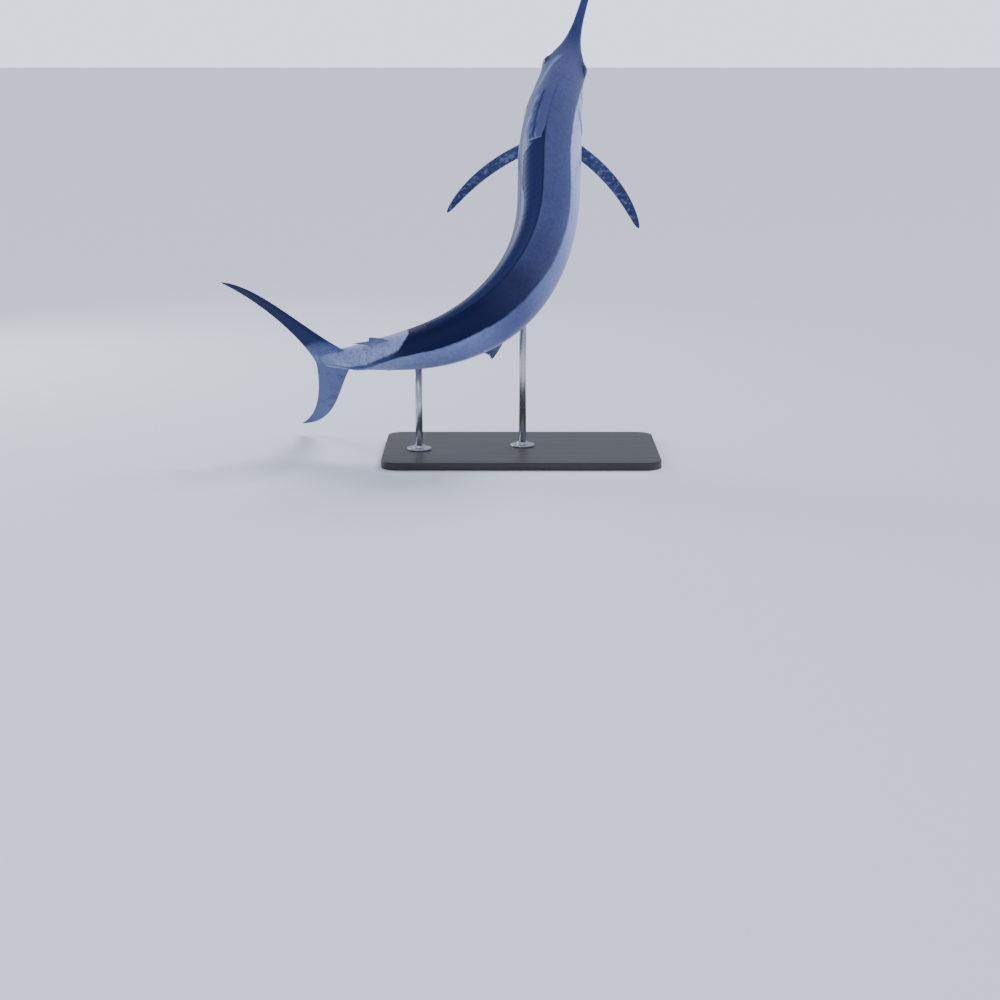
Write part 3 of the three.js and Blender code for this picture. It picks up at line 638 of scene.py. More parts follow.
def body_relief(at, turn):
    """Heights of the slot on the back, the lateral line and the tail's keels, and the painted shade in the
    slot.
    """
    above, aside, _ = skin_offsets(at, turn)
    slot = (np.cos(np.radians(turn)) > 0) * between(at, *FIN_SLOT["over"])
    across = np.abs(aside) / MILLIMETRE
    height = slot * bells(across, *FIN_SLOT["bells"])
    crease_shade = slot * bump(across, CREASE_SHADE_WIDTH["slot"]) * ease(at, 0.24, 0.29)
    flanks = np.abs(np.sin(np.radians(turn))) > 0.5
    for level in KEELS["heights"]:
        gap = (above - level * FORK_LENGTH) / MILLIMETRE
        along = bump(at - KEELS["at"], KEELS["reach"])
        height = height + flanks * along * KEELS["rise"] * bump(gap, KEELS["width"])
    line = bump((above - LATERAL_LINE["height"] * FORK_LENGTH) / MILLIMETRE, LATERAL_LINE["width"])
    line = line * flanks * between(at, *LATERAL_LINE["over"])
    return height - LATERAL_LINE["deep"] * line, crease_shade


def skin_relief(at, turn):
    """All features of the skin together, as a height in metres and painted shade in the creases from 0 to 1.
    """
    head_height, head_crease_shade = head_relief(at, turn, skin_point(at, turn))
    body_height, body_crease_shade = body_relief(at, turn)
    return (head_height + body_height) * MILLIMETRE, np.clip(np.maximum(head_crease_shade, body_crease_shade), 0, 1)


# The second number is painted shade in the creases, from 0 to 1.
RELIEF, CREASE_SHADE = skin_relief(SKIN_AT, TURNS)
print("relief from", round(RELIEF.min(), 4), "to", round(RELIEF.max(), 4), "m")

# %% [markdown]
# The markings belong to the surface, so they are told in places and turns too, and so is the light
# and shade painted on it. The dark back ends in a sharp line high on the flank, a little higher
# behind the head, and lower on the left, where painted shadow of the folded fin widens it. A painted
# reflection of the sky lies on the left cheek, painted shade lies round and ahead of each eye, and
# painted sunlight makes the top of the tail stem pale again. Each is stored at the points of the mesh
# as a distance past its edge, so the paint can blur or break that edge. The map named Surface is the
# skin unrolled.

# %% Markings
BACK_EDGE = through(  # turn at which the dark back ends, along the body
    [0.0, 0.08, 0.12, 0.15, 0.18, 0.23, 0.27, 0.34, 0.42, 0.6, 0.8, 0.85, 0.89, 0.94, 1.0],
    [96, 90, 80, 66, 58, 53, 50, 53, 60, 62, 64, 76, 96, 104, 104])
# Painted shadow of the folded fin: on the left the dark back reaches further down.
FIN_SHADOW_ON_LEFT = {"degrees": 16, "over": (0.15, 0.2, 0.5, 0.6)}
# Painted reflection of the sky on the left cheek: its upper edge, and the span it covers.
CHEEK_REFLECTION_TOP = through([0.085, 0.095, 0.132, 0.17, 0.21], [4, 12, 30, 38, 50])  # its upper edge
CHEEK_REFLECTION_SPAN = {"from": 0.08, "to": 0.21, "bottom": 120}
# Painted shade round each eye and ahead of it towards the bill.
EYE_SHADE = {"ahead": 0.008, "long": 95, "wide": 44}  # its half length and half width in millimetres
STEM_SUNLIGHT = through(  # turn up to which painted sunlight makes the top of the stem pale again
    [0.7, 0.776, 0.79, 0.81, 0.85, 0.89, 0.93, 1.0], [-60, -6, 22, 44, 60, 84, 96, 100])
STEM_SLANT = 0.008


def inside_stem_sunlight(at, turn):
    """Degrees round the section inside the painted sunlight on the top of the stem, whose front
    edge slants a little across the back."""
    return STEM_SUNLIGHT(at + STEM_SLANT * np.sin(np.radians(turn))) - np.minimum(turn, 360 - turn)


def past_back_edge(at, turn):
    """Degrees round the section beyond the edge of the dark back, which painted shadow of the folded fin
    moves lower on the left.
    """
    fin_shadow = FIN_SHADOW_ON_LEFT["degrees"] * between(at, *FIN_SHADOW_ON_LEFT["over"])
    return np.minimum(turn, 360 - turn) - BACK_EDGE(at) - fin_shadow * (turn < 180)


def past_cheek_reflection_top(at, turn):
    """Degrees below the upper edge of the painted reflection on the left cheek, or -90 elsewhere."""
    here = (turn < CHEEK_REFLECTION_SPAN["bottom"]) & (at > CHEEK_REFLECTION_SPAN["from"]) & (at < CHEEK_REFLECTION_SPAN["to"])
    return np.where(here, turn - CHEEK_REFLECTION_TOP(at), -90)


def eye_patch(at, turn):
    """Painted shade round each eye and ahead of it towards the bill: a bell of the distance from it."""
    points, mask = skin_point(at, turn), np.zeros_like(at)
    for side in SIDES.values():
        along, across = off_spot(points, EYE["at"] - EYE_SHADE["ahead"], EYE["height"], side)
        far = np.hypot(along / EYE_SHADE["long"], across / EYE_SHADE["wide"])
        mask = np.maximum(mask, on_side(at, turn, side) * bump(far, 1))
    return mask


# %% The skin as a mesh
SKIN_SUNK = 0.3 * MILLIMETRE  # how far the mesh lies inside its formula


def unrolled(at, turn):
    """UV of every corner: metres along the body and metres round it from the back, so that a
    pattern keeps its size. The last column reaches right round instead of jumping back, and the
    fans at the ends, with six corners to a column, stay at zero."""
    rows, columns = turn.shape
    girth = 2 * np.pi * np.sqrt((side_line(at) ** 2 + back_line(at) ** 2) / 2) * FORK_LENGTH
    across = np.concatenate([turn, np.full((rows, 1), 360.0)], 1) / 360 * girth[:, :1]
    along = np.repeat(at[:, :1] * FORK_LENGTH, columns + 1, 1)
    flat = np.stack([along, across], -1)
    quads = np.stack([flat[:-1, :-1], flat[:-1, 1:], flat[1:, 1:], flat[1:, :-1]], 2).reshape(-1, 2)
    return np.concatenate([quads, np.zeros((6 * columns, 2))])


def make_skin():
    """The closed skin, with its point numbers and its unrolled map."""
    points, faces = ring_shell(skin_point(SKIN_AT, TURNS, RELIEF - SKIN_SUNK))
    values = {"place": SKIN_AT, "turn": np.minimum(TURNS, 360 - TURNS), "crease_shade": CREASE_SHADE}
    markings = {"past": past_back_edge, "stem_top": inside_stem_sunlight, "cheek": past_cheek_reflection_top,
                "eye_patch": eye_patch}
    values.update({key: marking(SKIN_AT, TURNS) for key, marking in markings.items()})
    padded = {key: np.append(field, [field[0].mean(), field[-1].mean()]) for key, field in values.items()}
    return make_piece("skin", points, faces, padded, unrolled(SKIN_AT, TURNS))


# %% [markdown]
# Two effects are made once, as node groups with named sockets, and are then placed in a material
# like any other node. Every finish has a mottle, which is two sizes of cloudy noise added up. The
# skin also has the long narrow scales that lie sunk in it, which are Voronoi cells pulled out
# along the body. The groups only put out numbers. The shader itself stays in each material.

# %% Shared effects
def build_group(name, inputs, output, recipe):
    """A node group whose recipe turns its inputs into its output. An input is a vector where its
    value is None, and a number otherwise."""
    group = bpy.data.node_groups.new(name, "ShaderNodeTree")
    for label, value in inputs.items():
        kind = "NodeSocketVector" if value is None else "NodeSocketFloat"
        socket = group.interface.new_socket(name=label, in_out="INPUT", socket_type=kind)
        if value is not None:
            socket.default_value = value
    group.interface.new_socket(name=output, in_out="OUTPUT", socket_type="NodeSocketFloat")
    entry = group.nodes.new("NodeGroupInput")
    made = recipe(*(Paint(group, entry.outputs[label]) for label in inputs))
    wire(group, made, group.nodes.new("NodeGroupOutput").inputs[output])
    return group


def cloudy(vector, scale):
    """Cloudy noise at one size plus half as much at five times finer, from 0 to 1."""
    coarse = {"Vector": vector, "Scale": scale, "Detail": 3.0, "Roughness": 0.55}
    fine = {"Vector": vector, "Scale": scale * 5.0, "Detail": 2.0}
    coarse, fine = [added(vector.tree, "ShaderNodeTexNoise", sockets) for sockets in (coarse, fine)]
    return coarse * 0.667 + fine * 0.333


def scaly(vector, length, width):
    """Height of long narrow scales: distance to the edge of Voronoi cells on the unrolled skin,
    which is squeezed along the body so that each cell comes out several times longer than wide."""
    tree = vector.tree
    along, across = [added(tree, "ShaderNodeSeparateXYZ", {0: vector}, k) for k in (0, 1)]
    cell = added(tree, "ShaderNodeCombineXYZ", {0: along / length, 1: across / width})
    sockets = {"Vector": cell, "Scale": 1.0, "Randomness": 0.8}
    edges = added(tree, "ShaderNodeTexVoronoi", sockets, "Distance", feature="DISTANCE_TO_EDGE",
                  voronoi_dimensions="2D")
    return edges.remap(0.02, 0.3)


MOTTLE = build_group("mottle", {"Vector": None, "Scale": 10.0}, "Mask", cloudy)
LONG_SCALES = build_group("long_scales", {"Vector": None, "Length": 0.02, "Width": 0.004}, "Height", scaly)
print("shared effects:", MOTTLE.name, LONG_SCALES.name)


def effect(group, vector, *values):
    """The output of a shared effect placed in a material, with its own values."""
    return added(vector.tree, "ShaderNodeGroup", dict(enumerate((vector, *values))), node_tree=group)


# %% [markdown]
# A leaping marlin is dark navy on its back and pale silver on its flank. The paint adds light and
# shade to that: forward the back is slate violet, painted reflection of the sky on the wet skin;
# over the rear half it is almost black navy, partly painted shade; the flank is darker with painted
# shade round the middle of the body; and the tail stem is a speckled grey, paler with painted
# sunlight on its top. The paint runs along the body on two ramps, one for the back and one for the
# flank, and the line between them is broken up a little by the mottle. Wet skin is smooth with a
# thin clear film, which the coat of the shader gives.

# %% Skin paint
# Forward, the slate violet is painted reflection of the sky on the dark navy back; the near-black over the
# rear half is partly painted shade; the lighter stem is painted sunlight.
BACK_COLOURS_AND_LIGHT = [  # place and colour
    (BILL_TIP, (0.035, 0.05, 0.16)), (-0.05, (0.045, 0.065, 0.21)), (0.03, (0.04, 0.055, 0.19)),
    (0.08, (0.09, 0.1, 0.25)), (0.3, (0.096, 0.108, 0.26)), (0.42, (0.08, 0.094, 0.235)),
    (0.5, (0.05, 0.058, 0.165)), (0.56, (0.016, 0.022, 0.085)), (0.64, (0.0015, 0.005, 0.052)),
    (0.8, (0.0012, 0.004, 0.048)), (0.835, (0.025, 0.038, 0.13)), (0.91, (0.05, 0.07, 0.2)),
    (SKIN_END, (0.13, 0.165, 0.35)),
]
# The dip from 0.42 to 0.58 is painted shade, where the flank faces down.
FLANK_COLOURS_AND_SHADE = [
    (BILL_TIP, (0.035, 0.05, 0.16)), (-0.01, (0.05, 0.075, 0.22)), (0.05, (0.18, 0.25, 0.5)),
    (0.15, (0.5, 0.64, 1.0)), (0.3, (0.62, 0.7, 1.0)), (0.42, (0.34, 0.4, 0.76)),
    (0.5, (0.2, 0.24, 0.52)), (0.58, (0.12, 0.145, 0.34)), (0.68, (0.25, 0.29, 0.58)),
    (0.75, (0.24, 0.28, 0.52)), (0.88, (0.22, 0.27, 0.5)), (SKIN_END, (0.16, 0.2, 0.4)),
]
# Colours of the painted sunlight on the top of the stem.
STEM_SUNLIGHT_COLOURS = [
    (0.82, (0.32, 0.37, 0.6)), (0.88, (0.31, 0.36, 0.6)), (0.93, (0.29, 0.34, 0.58)),
    (SKIN_END, (0.19, 0.23, 0.44)),
]
BELLY_COLOUR = (0.62, 0.68, 0.84)
# Painted shade in the creases.
CREASE_SHADE_COLOUR = (0.012, 0.018, 0.05)
# Colours of the painted reflection on the left cheek.
CHEEK_REFLECTION_TEAL = (0.07, 0.14, 0.24)
CHEEK_REFLECTION_PALE = (0.26, 0.34, 0.54)
# Colour of the painted shade round each eye.
EYE_SHADE_COLOUR = (0.012, 0.022, 0.09)
SPECK_COLOUR = (0.03, 0.045, 0.11)
SCALE_SIZE = (0.022, 0.0042)


def along_body(place, stops):
    """A ramp whose stops are places on the body."""
    long = SKIN_END - BILL_TIP
    return ((place - BILL_TIP) / long).ramp([((at - BILL_TIP) / long, colour) for at, colour in stops])


def specked(colour, spot, where):
    """A colour with small dark specks, as thick as a mask from 0 to 1 says."""
    specks = effect(MOTTLE, spot, 110.0).remap(0.52, 0.6) * where
    return blend(specks * 0.6, colour, SPECK_COLOUR)


def head_reflection_and_shade(spot, place, uneven, colour):
    """Painted reflection on the left cheek, teal along its upper edge, and painted shade round and ahead of
    each eye.
    """
    below = spot.stored("cheek") + uneven * 24.0
    ends = place.band(0.086, 0.1, 0.15, 0.2)
    # painted reflection on the left cheek: teal along its upper edge, then pale
    colour = blend(below.remap(-4.0, 3.0, 0.0, 0.7) * ends, colour, CHEEK_REFLECTION_TEAL)
    colour = blend(below.band(0.0, 6.0, 7.0, 20.0) * 0.8 * ends, colour, CHEEK_REFLECTION_PALE)
    # painted shade round and ahead of each eye
    return blend(spot.stored("eye_patch") * 0.8, colour, EYE_SHADE_COLOUR)


def skin_material():
    """Countershaded wet skin with painted light and shade: two ramps along the body, parted at the edge of
    the back.
    """
    material, spot = new_material("marlin_skin")
    cloud, fine = effect(MOTTLE, spot, 9.0), effect(MOTTLE, spot, 60.0)
    uneven = cloud - 0.5
    place = spot.stored("place") + uneven * 0.012
    belly = spot.stored("turn").remap(105.0, 150.0) * 0.6
    flank = (spot.stored("past") + uneven * 12.0).remap(-2.5, 3.5)
    # painted sunlight on the top of the tail stem
    stem_top = (spot.stored("stem_top") + uneven * 40.0).remap(-6.0, 6.0)
    pale = blend(belly, along_body(place, FLANK_COLOURS_AND_SHADE), BELLY_COLOUR)
    back = blend(stem_top, along_body(place, BACK_COLOURS_AND_LIGHT), along_body(place, STEM_SUNLIGHT_COLOURS))
    colour = head_reflection_and_shade(spot, place, uneven, blend(flank, back, pale))
    grain = fine.remap(0.35, 0.65, 0.86, 1.1)
    grey = added(spot.tree, "ShaderNodeCombineXYZ", {0: grain, 1: grain, 2: grain})
    colour = specked(blend(1.0, colour, grey, "MULTIPLY"), spot, place.remap(0.79, 0.85))
    # painted shade darkens the creases
    colour = blend(spot.stored("crease_shade") * 0.85, colour, CREASE_SHADE_COLOUR)
    scales = effect(LONG_SCALES, added(spot.tree, "ShaderNodeUVMap", uv_map="Surface"), *SCALE_SIZE)
    sockets = {"Base Color": colour, "Roughness": fine.remap(0.3, 0.7, 0.3, 0.46), "Metallic": flank * 0.15,
               "Coat Weight": place.remap(0.45, 0.6, 0.2, 0.05), "Coat Roughness": 0.16,
               "Specular IOR Level": 0.14}
    return set_shader(material, sockets, scales + fine * 1.4, strength=0.35)


FLESH = ["head", "lower_jaw", "torso_front", "torso_middle", "torso_rear", "tail_stem", "bill"]
finish_piece(make_skin(), skin_material(), "skin", *FLESH)

# %% [markdown]
# A marlin's eye is about 6 cm wide. It bulges a little from its cup, with a wide dark pupil, a
# thin bright ring and a deep blue iris, all under one clear cornea. Each eye is a flattened ball.
# The distance from the middle of the pupil is stored at its points, and the rings follow it.

# %% Eyes
EYE_RINGS = [  # distance from the middle of the pupil and colour
    (0.0, (0.002, 0.004, 0.012)), (0.17, (0.003, 0.006, 0.018)), (0.185, (0.12, 0.17, 0.24)),
    (0.21, (0.03, 0.07, 0.16)), (0.32, (0.014, 0.035, 0.11)), (0.42, (0.008, 0.02, 0.07)),
    (0.5, (0.005, 0.01, 0.035)),
]


def eye_ball(name, side, rings=40, columns=64):
    """A flattened ball set in its cup: its rings run from the middle of the pupil to the back."""
    centre, along, across, outward = side_spot(EYE["at"], EYE["height"], side)
    centre = centre + outward * (EYE["proud"] - EYE["depth"])
    around, fall = np.meshgrid(np.linspace(0, 2 * np.pi, columns, endpoint=False),
                               np.linspace(0, np.pi, rings + 1)[1:-1])
    wide, deep = (EYE["radius"] * np.sin(fall))[..., None], (EYE["depth"] * np.cos(fall))[..., None]
    round_it = along * np.cos(around)[..., None] + across * np.sin(around)[..., None]
    poles = centre + outward * EYE["depth"] * np.array([[1], [-1]])
    shell = ring_shell(centre + wide * round_it + deep * outward, poles)
    return make_piece(name, *shell, {"fall": np.append(fall / np.pi, [0, 1])})


def eye_material():
    """Pupil, bright ring and iris by the distance from the middle, all under a clear coat."""
    material, spot = new_material("marlin_eye")
    uneven = (effect(MOTTLE, spot, 90.0) - 0.5) * 0.05
    rings = (spot.stored("fall") + uneven).ramp(EYE_RINGS)
    return set_shader(material, {"Base Color": rings, "Roughness": 0.25, "Specular IOR Level": 0.08,
                                 "Coat Weight": 0.6, "Coat Roughness": 0.03})


EYE_FINISH = eye_material()
for name, side in SIDES.items():
    finish_piece(eye_ball(f"eye_{name}", side), EYE_FINISH, "eye", f"eye_{name}")

# %% [markdown]
# Every fin is a thin sheet with a formula: one number runs along its base and counts its rays, the
# other runs out from the body to the edge. Half a thickness goes on either side of the middle
# sheet. The rays are ridges of that thickness, as on a real fin, where a web of skin spans stiff
# rods. The edge is cut a little short between the rays. Both numbers are stored for the paint.

# %% Sheets for fins
def sheet_shell(middle, across, half, values):
    """A thin closed surface over a grid: each row is a loop over one face and back over the
    other, half a thickness either side of the middle, and strips close the first and last row."""
    rows, columns = half.shape
    off = across * half[..., None]
    points = np.concatenate([middle + off, (middle - off)[:, ::-1]], 1).reshape(-1, 3)
    loop, i = 2 * columns, np.arange(columns - 1)
    strip = np.stack([i, i + 1, loop - 2 - i, loop - 1 - i], -1)
    faces = [grid_faces(rows, loop, around=True), strip[:, ::-1], strip + (rows - 1) * loop]
    both = {key: np.concatenate([field, field[:, ::-1]], 1).ravel() for key, field in values.items()}
    return points, facing_out(points, np.concatenate(faces)), both


def make_fin(name, *sheets):
    """A fin of one or more sheets, each closed and all joined in one mesh."""
    points, faces, values = zip(*(sheet_shell(*sheet) for sheet in sheets))
    starts = np.cumsum([0, *map(len, points[:-1])])
    faces = np.concatenate([quads + start for quads, start in zip(faces, starts)]).tolist()
    joined = {key: np.concatenate([part[key] for part in values]) for key in values[0]}
    return make_piece(name, np.concatenate(points), faces, joined)


def ray_ridge(count):
    """1 on the crest of each ray and 0 in the web between: a raised cosine to the power 1.5."""
    return (0.5 + 0.5 * np.cos(2 * np.pi * count)) ** 1.5


def fin_grid(rays, rows, per_ray=8):
    """Count of rays and share of the way out, for every point of a fin's grid."""
    return np.meshgrid(np.linspace(0, rays, rays * per_ray + 1), np.linspace(0, 1, rows + 1))


def half_thickness(thick, out, count, web):
    """Half the thickness from root to tip, which falls to a share of itself in the webs."""
    return mix(*thick, out) * mix(web, 1, ray_ridge(count)) / 2 * MILLIMETRE


def rounded_edge(out, power):
    """Share of the thickness left on the way out, which rounds the outer edge off."""
    return np.sqrt(np.clip(1.02 - out**power, 0.05, 1))


# %% [markdown]
# All fins share one wet finish and the way in which the webs between the rays show through: dark
# where the cosine of the ray count is low. Only their colours and patches differ.

# %% Fin paint
def webs(spot, until, strength):
    """How far the web shows: from full strength between two rays down to 0 near each ray."""
    return (spot.stored("count") * (2 * np.pi)).maths("COSINE").remap(-1.0, until, strength, 0.0)


def fin_finish(material, colour, fine, rough, coat, coat_rough, specular):
    """The wet finish of a fin: a roughness range, a thin coat and a fine bump."""
    sockets = {"Base Color": colour, "Roughness": fine.remap(0.3, 0.7, *rough), "Coat Weight": coat,
               "Coat Roughness": coat_rough, "Specular IOR Level": specular}
    return set_shader(material, sockets, fine)


def fin_material(name, root, edge, web, patch, patch_scale):
    """Root colour to edge colour on the way out, cloudy patches and dark webs."""
    material, spot = new_material(name)
    patches = effect(MOTTLE, spot, patch_scale).remap(0.5, 0.62) * 0.5
    colour = blend(spot.stored("out").remap(0.1, 0.95), root, edge)
    colour = blend(webs(spot, 0.4, 0.35), blend(patches, colour, patch), web)
    return fin_finish(material, colour, effect(MOTTLE, spot, 90.0), (0.28, 0.44), 0.08, 0.18, 0.15)


# %% [markdown]
# The first dorsal fin is folded down, as a marlin folds it to swim fast: its rays lie over the
# left side of the back, swept to the rear. The tall front lobe lies over the start of the long
# low part, which is almost black. Both are sheets over the skin, joined in one piece, and their
# foot stands in the slot of the skin.

# %% First dorsal fin
FOLDED = {  # foot: metres to the left and millimetres up; bed and lift: millimetres off the skin
    "lengths": [[0.168, 0.045], [0.176, 0.072], [0.188, 0.095], [0.203, 0.091], [0.222, 0.0705],
                [0.24, 0.049], [0.262, 0.0265], [0.272, 0.055], [0.32, 0.055], [0.38, 0.042],
                [0.45, 0.037], [0.56, 0.031], [0.735, 0.012]],
    "sweep": [[0.168, 54], [0.176, 62], [0.188, 68], [0.206, 70], [0.24, 75], [0.262, 80],
              [0.272, 45], [0.38, 42], [0.735, 46]],
    "web": 0.985, "thick": (3.6, 1.3), "bed": 0.4, "foot": {"left": -0.006, "lift": -10},
    "lobe": {"from": 0.168, "to": 0.262, "rays": 13, "lift": 11.5, "rows": 30},
    "low": {"from": 0.272, "to": 0.735, "rays": 34, "lift": 4.6, "rows": 18},
}


def folded_sheet(part):
    """Rays over the skin: each runs tailward by its length times the sine of its sweep and left
    by its length times the cosine, and rides a few millimetres off the skin. A row before the
    first one stands in the slot."""
    count, out = fin_grid(part["rays"], part["rows"])
    count, out = [np.concatenate([field[:1], field]) for field in (count, out)]
    in_slot = np.arange(len(out))[:, None] == 0
    base, ridge = mix(part["from"], part["to"], count / part["rays"]), ray_ridge(count)
    long = through(*np.transpose(FOLDED["lengths"]))(base) * mix(FOLDED["web"], 1, ridge)
    sweep = np.radians(through(*np.transpose(FOLDED["sweep"]))(base))
    at = base + long * out * np.sin(sweep)
    left = np.where(in_slot, FOLDED["foot"]["left"], long * out * np.cos(sweep) * FORK_LENGTH)
    proud = mix(FOLDED["bed"], part["lift"], np.sin(0.75 * np.pi * out)) + 0.12 * ridge
    lift = np.where(in_slot, FOLDED["foot"]["lift"], proud) * MILLIMETRE
    turn = turn_at(at, left)
    half = half_thickness(FOLDED["thick"], out, count, 0.86) * rounded_edge(out, 10)
    values = {"count": count, "out": out, "base": base, "turn": turn}
    return skin_point(at, turn, lift), skin_normal(at, turn), half, values


def folded_fin_material():
    """The front lobe in the back's own slate violet with painted sheen as pale streaks along its
    rays, painted shadow as a dark fold beside the slot and a painted highlight as a pale rim; the rest dark
    navy."""
    material, spot = new_material("folded_dorsal_fin")
    out, count, turn = [spot.stored(name) for name in ("out", "count", "turn")]
    along_rays = added(spot.tree, "ShaderNodeCombineXYZ", {0: count, 1: out * 1.6})
    streaks = effect(MOTTLE, along_rays, 1.1)
    lobe = blend(streaks.remap(0.36, 0.5), (0.03, 0.045, 0.14), (0.085, 0.105, 0.26))
    # painted sheen: pale streaks along the rays
    lobe = blend(streaks.remap(0.52, 0.64, 0.0, 0.8), lobe, (0.26, 0.32, 0.56))
    lobe = blend(turn.remap(9.0, 15.0), (0.096, 0.108, 0.26), lobe)
    # painted shadow: a dark fold beside the slot
    lobe = blend(turn.band(13.0, 16.0, 17.0, 20.0) * 0.7, lobe, (0.012, 0.022, 0.085))
    # painted highlight: a pale rim along the lobe's edge
    lobe = blend(out.remap(0.93, 0.98, 0.0, 0.8), lobe, (0.22, 0.27, 0.48))
    low = blend(out.remap(0.8, 1.0), (0.016, 0.026, 0.105), (0.03, 0.045, 0.15))
    low = blend(webs(spot, 0.8, 0.2), low, (0.008, 0.016, 0.07))
    colour = blend(spot.stored("base").remap(0.264, 0.27), lobe, low)
    return fin_finish(material, colour, effect(MOTTLE, spot, 90.0), (0.38, 0.5), 0.05, 0.2, 0.14)


folded = make_fin("first_dorsal_fin", *(folded_sheet(FOLDED[part]) for part in ("lobe", "low")))
finish_piece(folded, folded_fin_material(), "fin",
             *(f"first_dorsal_fin_{part}" for part in ("front", "middle", "rear")))

# %% [markdown]
# Four small fins stand on the midline: the second dorsal on the back of the stem, the first and
# second anal below, and the pair of thread-like pelvic fins under the shoulder. The midline fins
# share one formula, in which every ray leaves the skin at its own sweep.

# %% Fins on the midline
MIDLINE_FINS = {
    "second_dorsal_fin": {
        "from": 0.826, "to": 0.868, "rays": 7, "above": 1, "sweep": (56, 74), "lean": 8, "thick": (3, 1),
        "lengths": [[0, 0.014], [0.2, 0.032], [0.55, 0.022], [1, 0.036]]},
    "first_anal_fin": {
        "from": 0.6, "to": 0.695, "rays": 13, "above": -1, "sweep": (46, 50), "lean": 4, "thick": (4, 1.2),
        "lengths": [[0, 0.03], [0.14, 0.088], [0.35, 0.062], [0.65, 0.034], [1, 0.016]]},
    "second_anal_fin": {
        "from": 0.842, "to": 0.884, "rays": 7, "above": -1, "sweep": (42, 66), "lean": 6, "thick": (3, 1),
        "lengths": [[0, 0.016], [0.2, 0.034], [0.55, 0.022], [1, 0.03]]},
}


def midline_sheet(fin, rows=18, sink=0.002, root=0.012):
    """Rays that stand on the back or belly: foot on the skin, direction away from it by the
    cosine of the sweep and tailward by its sine, length from the fin's outline."""
    count, out = fin_grid(fin["rays"], rows)
    share = count / fin["rays"]
    at = mix(fin["from"], fin["to"], share)
    _, tailward, up, left = frame_at(at)
    sweep, lean = np.radians(mix(*fin["sweep"], share))[..., None], radians(fin["lean"])
    away = up * fin["above"] * np.cos(lean) + left * np.sin(lean)
    along = away * np.cos(sweep) + tailward * np.sin(sweep)
    foot = skin_point(at, np.where(fin["above"] > 0, 0.0, 180.0) + 0 * at, -sink)
    long = through(*np.transpose(fin["lengths"]))(share) * FORK_LENGTH * mix(0.95, 1, ray_ridge(count))
    middle = foot + along * (long * out)[..., None]
    middle = np.concatenate([foot[:1] - away[:1] * root, middle])
    half = half_thickness(fin["thick"], out, count, 0.5) * rounded_edge(out, 8)
    across, half, count, out = [np.concatenate([field[:1], field])
                                for field in (unit(np.cross(tailward, away)), half, count, out)]
    return middle, across, half, {"count": count, "out": out}


SMALL_FIN = fin_material("small_fin", (0.22, 0.26, 0.48), (0.1, 0.13, 0.29), (0.04, 0.055, 0.15),
                         (0.05, 0.07, 0.18), 14.0)
for name, fin in MIDLINE_FINS.items():
    finish_piece(make_fin(name, midline_sheet(fin)), SMALL_FIN, "fin", name)

# %% [markdown]
# A marlin's pectoral fins are long stiff blades held out like wings. Each follows a middle line
# that curves back from root to tip, with a thick rounded front edge and a thin rear one. Its rays
# run along the blade, so here the number that counts rays goes across the chord.

# %% Pectoral and pelvic fins
PECTORAL = {
    "at": 0.246, "turn": 112, "sink": 0.026, "length": 0.212, "chord": 0.0265, "axis": 0.35, "tip": 0.003,
    "rays": 16, "droop": 8, "pitch": -8, "thick": (9, 1.6), "sweeps": {"left": (27, 66), "right": (32, 70)},
}
PELVIC = {"at": 0.262, "turn": 166, "sink": 0.008, "length": 0.088, "chord": 0.006, "lift": 9,
          "thick": (3, 1.2), "rays": 3}


def blade_section(share, widest, front, rear, least):
    """Thickness over a chord: a quarter ellipse up to the widest point and another behind it."""
    return np.sqrt(np.clip(1 - ((share - widest) / np.where(share < widest, front, rear)) ** 2, least, 1))


def pectoral_sheet(side, sweeps, rows=60):
    """A blade round a curved middle line: rows go out from the root, columns go from the front
    edge to the rear edge, and the thickness is a wing's, blunt in front and fine behind."""
    _, tailward, up, left = frame_at(PECTORAL["at"])
    droop, pitch = radians(PECTORAL["droop"]), radians(PECTORAL["pitch"])
    sideways = left * side * np.cos(droop) - up * np.sin(droop)
    back = unit(tailward * np.cos(pitch) - up * np.sin(pitch))
    flat = unit(np.cross(sideways, back))
    count, out = fin_grid(PECTORAL["rays"], rows)
    share = count / PECTORAL["rays"]
    sweep = np.radians(mix(*sweeps, np.linspace(0, 1, rows + 1) ** 1.2))[:, None]
    along = sideways * np.cos(sweep) + back * np.sin(sweep)
    behind = back * np.cos(sweep) - sideways * np.sin(sweep)
    root = skin_point(PECTORAL["at"], side * PECTORAL["turn"], -PECTORAL["sink"])
    line = root + np.cumsum(along, 0) * PECTORAL["length"] * FORK_LENGTH / rows
    chord = PECTORAL["chord"] * FORK_LENGTH * np.sqrt(np.clip(1 - out**2.2, 0, 1)) + PECTORAL["tip"] * out
    middle = line[:, None] + behind[:, None] * ((share - PECTORAL["axis"]) * chord)[..., None]
    wing = blade_section(share, 0.3, 0.305, 0.705, 0.004)
    half = half_thickness(PECTORAL["thick"], out**0.8, count, 0.9) * wing
    return middle, flat, half, {"count": count, "out": out}


